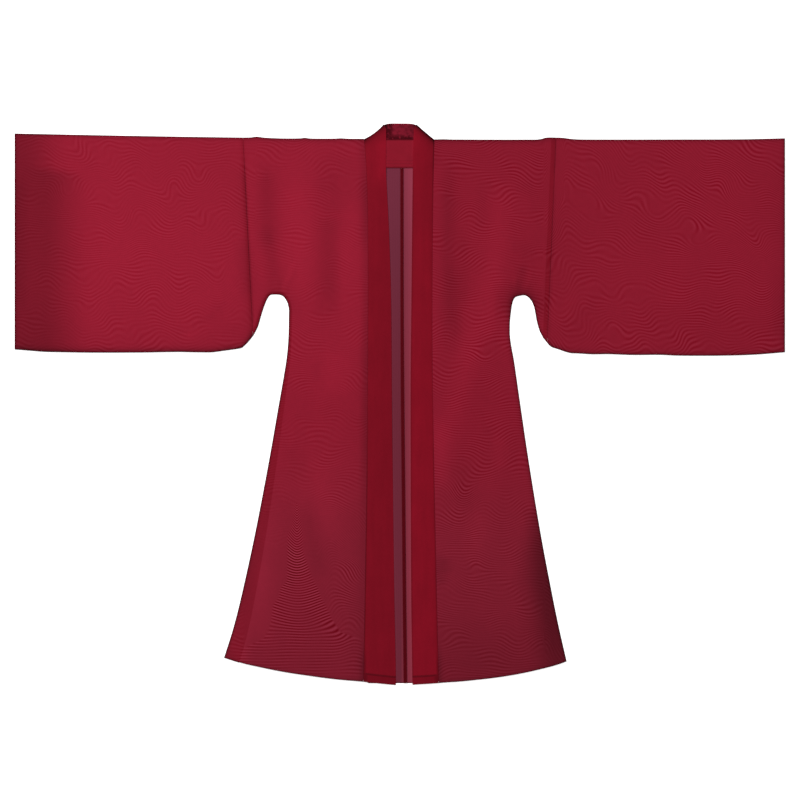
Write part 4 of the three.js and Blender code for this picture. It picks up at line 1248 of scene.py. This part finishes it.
FRONT_HEM_DEPTH = 0.0203
BAND_RED = (0.174, 0.0030, 0.0108, 1)
BAND_RED_LEFT = (0.192, 0.0030, 0.0116, 1)
BAND_DARK = (0.050, 0.0010, 0.0034, 1)
BEHIND_RED = (0.152, 0.0058, 0.0162, 1)
SPOT_DARK = (0.050, 0.0010, 0.0040, 1)
SLANT_SHADE_TINT = (0.06, 0.10, 0.10, 1)


def band_spots(x, y, point):
    """The dark spots of the band's lining behind the neck, and the dark line along its foot."""
    where = larger(ramp(x, -0.012, -0.027), ramp(y, 0.675, 0.665))
    where = times(where, ramp(x, 0.034, 0.027))
    spots = scaled(where, -0.13, soft_noise(point, 120.0, 4.0, 0.65))
    spots = times(ramp(spots, 0.56, 0.40), scaled(where, 0.55, 0.45))
    return larger(spots, ramp(y, NECKLINE_UP + 0.0042, NECKLINE_UP + 0.0015, 0.0, 0.95))


def band_cloth():
    """Doubled cloth over stiffening: opaque, deeper red, with a pressed edge and a darker seam, partly
    painted shade.
    """
    material = new_material("doubled band", Roughness=0.82, Specular_IOR_Level=CLOTH_GLOSS)
    tree = material.node_tree
    x, y, point = plan_of(tree)
    from_seam = read(tree, "from_seam")
    from_hem = read(tree, "from_hem")
    free = ramp(read(tree, "from_free"), 0.0050, 0.0012, 0.0, 0.30)
    free = times(times(free, ramp(x, -0.005, 0.005)), ramp(y, 0.61, 0.56))
    # The dark along the seam is partly painted shade, deepest at the seam's foot.
    dark = times(ramp(from_seam, 0.0042, 0.0008, 0.0, 0.42), read(tree, "seam_shade"))
    dark = larger(dark, times(ramp(from_seam, 0.0085, 0.0010, 0.0, 0.55), ramp(from_hem, 0.11, 0.04)))
    dark = larger(dark, times(ramp(from_seam, 0.020, 0.004, 0.0, 0.60), ramp(from_hem, 0.026, 0.016)))
    dark = larger(dark, free)
    dark = larger(dark, ramp(away_from(from_hem, FRONT_HEM_DEPTH), 0.0042, 0.0012, 0.0, 0.62))
    dark = larger(dark, ramp(from_hem, 0.0075, 0.0020, 0.0, 0.42))
    dark = larger(dark, ramp(from_hem, FRONT_HEM_DEPTH, FRONT_HEM_DEPTH - 0.001, 0.0, 0.24))
    # The band is one red, painted a little lighter on the left half as light and shade.
    red = blend("MIX", ramp(x, -0.02, 0.02), BAND_RED, BAND_RED_LEFT)
    colour = blend("MIX", dark, red, BAND_DARK)
    behind = blend("MIX", band_spots(x, y, point), BEHIND_RED, SPOT_DARK)
    colour = blend("MIX", read(tree, "behind_neck"), colour, behind)
    # Painted shade along the slanting fold beside the neck.
    colour = blend("MULTIPLY", near(read(tree, "from_slant"), 0.0075), colour, SLANT_SHADE_TINT)
    stretch = add_node(tree, "ShaderNodeMapping", Vector=point, Scale=(70, 9, 1))
    light_and_tone = scaled(soft_noise(point, 14.0, 3.0), 0.22, 0.74)
    light_and_tone = scaled(soft_noise(stretch.outputs[0], 1.0, 2.0), 0.20, light_and_tone)
    light_and_tone = scaled(soft_noise(point, 150.0, 2.0), 0.10, light_and_tone)
    return finish_cloth(material, colour, times(light_and_tone, read(tree, "light_and_tone")))


places = band_places()
band = cloth_sheet("collar_band_cloth", places, turned=True)
bm = bmesh.new()
bm.from_mesh(band.data)
bmesh.ops.remove_doubles(bm, verts=bm.verts, dist=JOIN_WITHIN)
bmesh.ops.holes_fill(bm, edges=[edge for edge in bm.edges if edge.is_boundary], sides=0)
bmesh.ops.recalc_face_normals(bm, faces=bm.faces)
bm.to_mesh(band.data)
bm.free()
smooth_over(band.data)
band.data.materials.append(band_cloth())
x, y, z = corners(band)


def from_edges(which, tops, x, y):
    """The distance to the nearer of the band's two edges of a kind, each up to its own height."""
    nearest = np.full(len(x), np.inf)
    for half, top in zip(HALVES.values(), tops):
        edge = [(half["sign"] * half[which](up), up) for up in np.linspace(HEM_LOW, top, 90)]
        nearest = np.minimum(nearest, distance_to(edge, x, y))
    return nearest


FAR = 1.0
SHADE_UPS = (-0.6, -0.15, 0.0, 0.45, 0.56, 0.66)
# The painted light and shade down the band, on each side.
RIGHT_BAND_SHADING = {"up": (-0.68, -0.50, -0.20, 0.0, 0.50, 0.58, 0.66),
              "light_and_tone": (1.00, 0.98, 0.98, 0.98, 1.0, 1.08, 1.12)}
LEFT_BAND_SHADING = {"up": (-0.68, -0.50, -0.20, 0.0, 0.38, 0.48, 0.58, 0.66),
             "light_and_tone": (1.02, 1.0, 1.0, 0.99, 0.97, 0.88, 0.92, 1.04)}
seam_tops = [half["neck_seam"][1] for half in HALVES.values()]
measure(band, "from_seam", from_edges("seam_out", seam_tops, x, y))
from_free = from_edges("free_out", (0.690, 0.690), x, y)
measure(band, "from_free", np.where(y > 0.64, FAR, from_free))
slants = [[np.array(end) for end in band_fold(half)[:2]] for half in HALVES.values()]
from_slant = np.minimum(distance_to(slants[0], x, y), distance_to(slants[1], x, y))
measure(band, "from_slant", np.where(y > 0.62, from_slant, FAR))
right_shade = np.interp(y, SHADE_UPS, (1.2, 1.0, 0.15, 0.15, 0.25, 0.05))
left_shade = np.interp(y, SHADE_UPS, (0.8, 0.6, 0.1, 0.1, 0.9, 1.3))
measure(band, "seam_shade", np.where(x < 0, right_shade, left_shade))
hem = np.where(x < 0, HALVES["right"]["hem_up"](np.abs(x)), HALVES["left"]["hem_up"](np.abs(x)))
measure(band, "from_hem", y - hem)
measure(band, "behind_neck", (z < 0.0025) & (y > 0.655))
# The band's painted light and shade: lighter beside the neck on the right, darker there on the left.
right_band_shading = np.interp(y, RIGHT_BAND_SHADING["up"], RIGHT_BAND_SHADING["light_and_tone"])
by_the_neck = smoothstep(y, 0.53, 0.58) * smoothstep(y, 0.665, 0.645)
right_band_shading *= 1 + 0.20 * smoothstep(x, -0.070, -0.045) * by_the_neck
left_band_shading = np.interp(y, LEFT_BAND_SHADING["up"], LEFT_BAND_SHADING["light_and_tone"])
left_band_shading *= 1 - 0.14 * smoothstep(y, 0.54, 0.60) * smoothstep(x, 0.040, 0.082)
measure(band, "light_and_tone", np.where(x < 0, right_band_shading, left_band_shading))
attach(band, "root")
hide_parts("collar_band")

# The stitches that show.
# Short stitches of matching thread: two rows along the foot of the facing, one along each edge of
# the back seam, and one across the hem of each front band.
STITCH_PITCH = 0.0032
STITCH_LONG = 0.0011
STITCH_THICK = 0.00022
FROM_BACK_SEAM_EDGE = 0.0007
ABOVE_HEM_FOLD = 0.0016
FACING_ROW_END = 0.004
HEM_ROW_ENDS = {"free": 0.003, "seam": 0.004}
THREAD_RED = (0.150, 0.0030, 0.0100, 1)


def surface_of(piece):
    """A piece's surface, for finding its height under a place."""
    bm = bmesh.new()
    bm.from_mesh(piece.data)
    surface = BVHTree.FromBMesh(bm)
    bm.free()
    return surface


def sew(surface, run):
    """Where the stitches of one row lie along a run of places: each one's middle, half sunk in the
    cloth below it, and its turn."""
    run = [Vector((spot[0], spot[1], 0.0)) for spot in run]
    row = []
    left_over = STITCH_PITCH / 2
    for start, end in zip(run, run[1:]):
        step = end - start
        at = left_over
        while at < step.length:
            spot = start + step * (at / step.length)
            below = surface.ray_cast(Vector((spot.x, spot.y, 0.05)), Vector((0, 0, -1)))[0]
            row.append((below, math.atan2(step.y, step.x)))
            at += STITCH_PITCH
        left_over = at - step.length
    return row


rows = []
surface = surface_of(facing)
for above_edge in FACING_STITCH_ROWS:
    row_up = FACING_TOP - FACING_DEPTH + above_edge
    row_end = FACING_HALF_WIDTH - FACING_ROW_END
    rows += sew(surface, [(-row_end, row_up), (row_end, row_up)])
surface = surface_of(back_seam)
for side in (-1, 1):
    row_x = seam_middle + side * (half_width - FROM_BACK_SEAM_EDGE)
    rows += sew(surface, list(zip(row_x, seam_ups))[1:-1])
surface = surface_of(band)
for half in HALVES.values():
    row_start = half["free_out"](HEM_LOW) + HEM_ROW_ENDS["free"]
    outs = np.linspace(row_start, half["seam_out"](HEM_LOW) - HEM_ROW_ENDS["seam"], 12)
    row_ups = half["hem_up"](outs) + FRONT_HEM_DEPTH + ABOVE_HEM_FOLD
    rows += sew(surface, list(zip(half["sign"] * outs, row_ups)))
bm = bmesh.new()
bmesh.ops.create_uvsphere(bm, u_segments=6, v_segments=5, radius=1)
bmesh.ops.scale(bm, vec=(STITCH_LONG, STITCH_THICK, STITCH_THICK), verts=bm.verts)
one_stitch = [corner.co.copy() for corner in bm.verts]
its_faces = [[corner.index for corner in face.verts] for face in bm.faces]
bm.free()
spots = []
faces = []
for middle, turn in rows:
    faces += [[index + len(spots) for index in face] for face in its_faces]
    turned = Matrix.Rotation(turn, 3, "Z")
    spots += [middle + turned @ corner for corner in one_stitch]
mesh = bpy.data.meshes.new("stitches")
mesh.from_pydata(spots, [], faces)
mesh.shade_smooth()
stitches = put_in_scene("stitches", mesh)
mesh.materials.append(new_material("thread", Base_Color=THREAD_RED, Roughness=0.6, Specular_IOR_Level=0.2))
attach(stitches, "root")

# The floor.
# A plain, almost white surface, wide enough to fill every view and lit a little from below, as a
# light table is, so that it stays white round the shirt.
FLOOR_HALF_WIDTH = 8
bm = bmesh.new()
bmesh.ops.create_grid(bm, x_segments=8, y_segments=8, size=FLOOR_HALF_WIDTH)
floor = put_in_scene("floor", finish_mesh(bm, "floor"))
glow = {"Emission_Color": (1.0, 1.0, 1.0, 1), "Emission_Strength": 0.55}
white = {"Base_Color": (0.90, 0.90, 0.90, 1), "Roughness": 0.9, "Specular_IOR_Level": 0.1}
floor.data.materials.append(new_material("pale floor", **white, **glow))

# The light.
# One large soft lamp far up to the left of the neck, and an even sky that fills the shadows.
KEY_AT = Vector((-3.2, 4.4, 4.6))
KEY_AIM = Vector((0.0, 0.1, 0.0))
KEY_SIZE = 3.0
KEY_WATTS = 390.0
SKY_STRENGTH = 0.62
lamp = bpy.data.lights.new("key", "AREA")
lamp.shape = "DISK"
lamp.size = KEY_SIZE
lamp.energy = KEY_WATTS
key = put_in_scene("key", lamp)
key.location = KEY_AT
key.rotation_euler = (KEY_AIM - KEY_AT).to_track_quat("-Z", "Y").to_euler()
key.visible_camera = False
sky = bpy.data.worlds.new("studio")
bpy.context.scene.world = sky
sky.use_nodes = True
sky.node_tree.nodes["Background"].inputs["Color"].default_value = (1.0, 1.0, 1.0, 1)
sky.node_tree.nodes["Background"].inputs["Strength"].default_value = SKY_STRENGTH
bpy.context.scene.view_settings.view_transform = "Standard"

# The camera.
# Straight above the shirt, far off with a long lens, so that it is seen square on.
VIEW_WIDTH = 2.0
CAMERA_HEIGHT = 8.0
VIEW_MIDDLE_UP = 0.010
lens = bpy.data.cameras.new("camera")
lens.sensor_width = 36.0
lens.lens = lens.sensor_width * CAMERA_HEIGHT / VIEW_WIDTH
camera = put_in_scene("camera", lens)
camera.location = (0.0, VIEW_MIDDLE_UP, CAMERA_HEIGHT)
bpy.context.scene.camera = camera
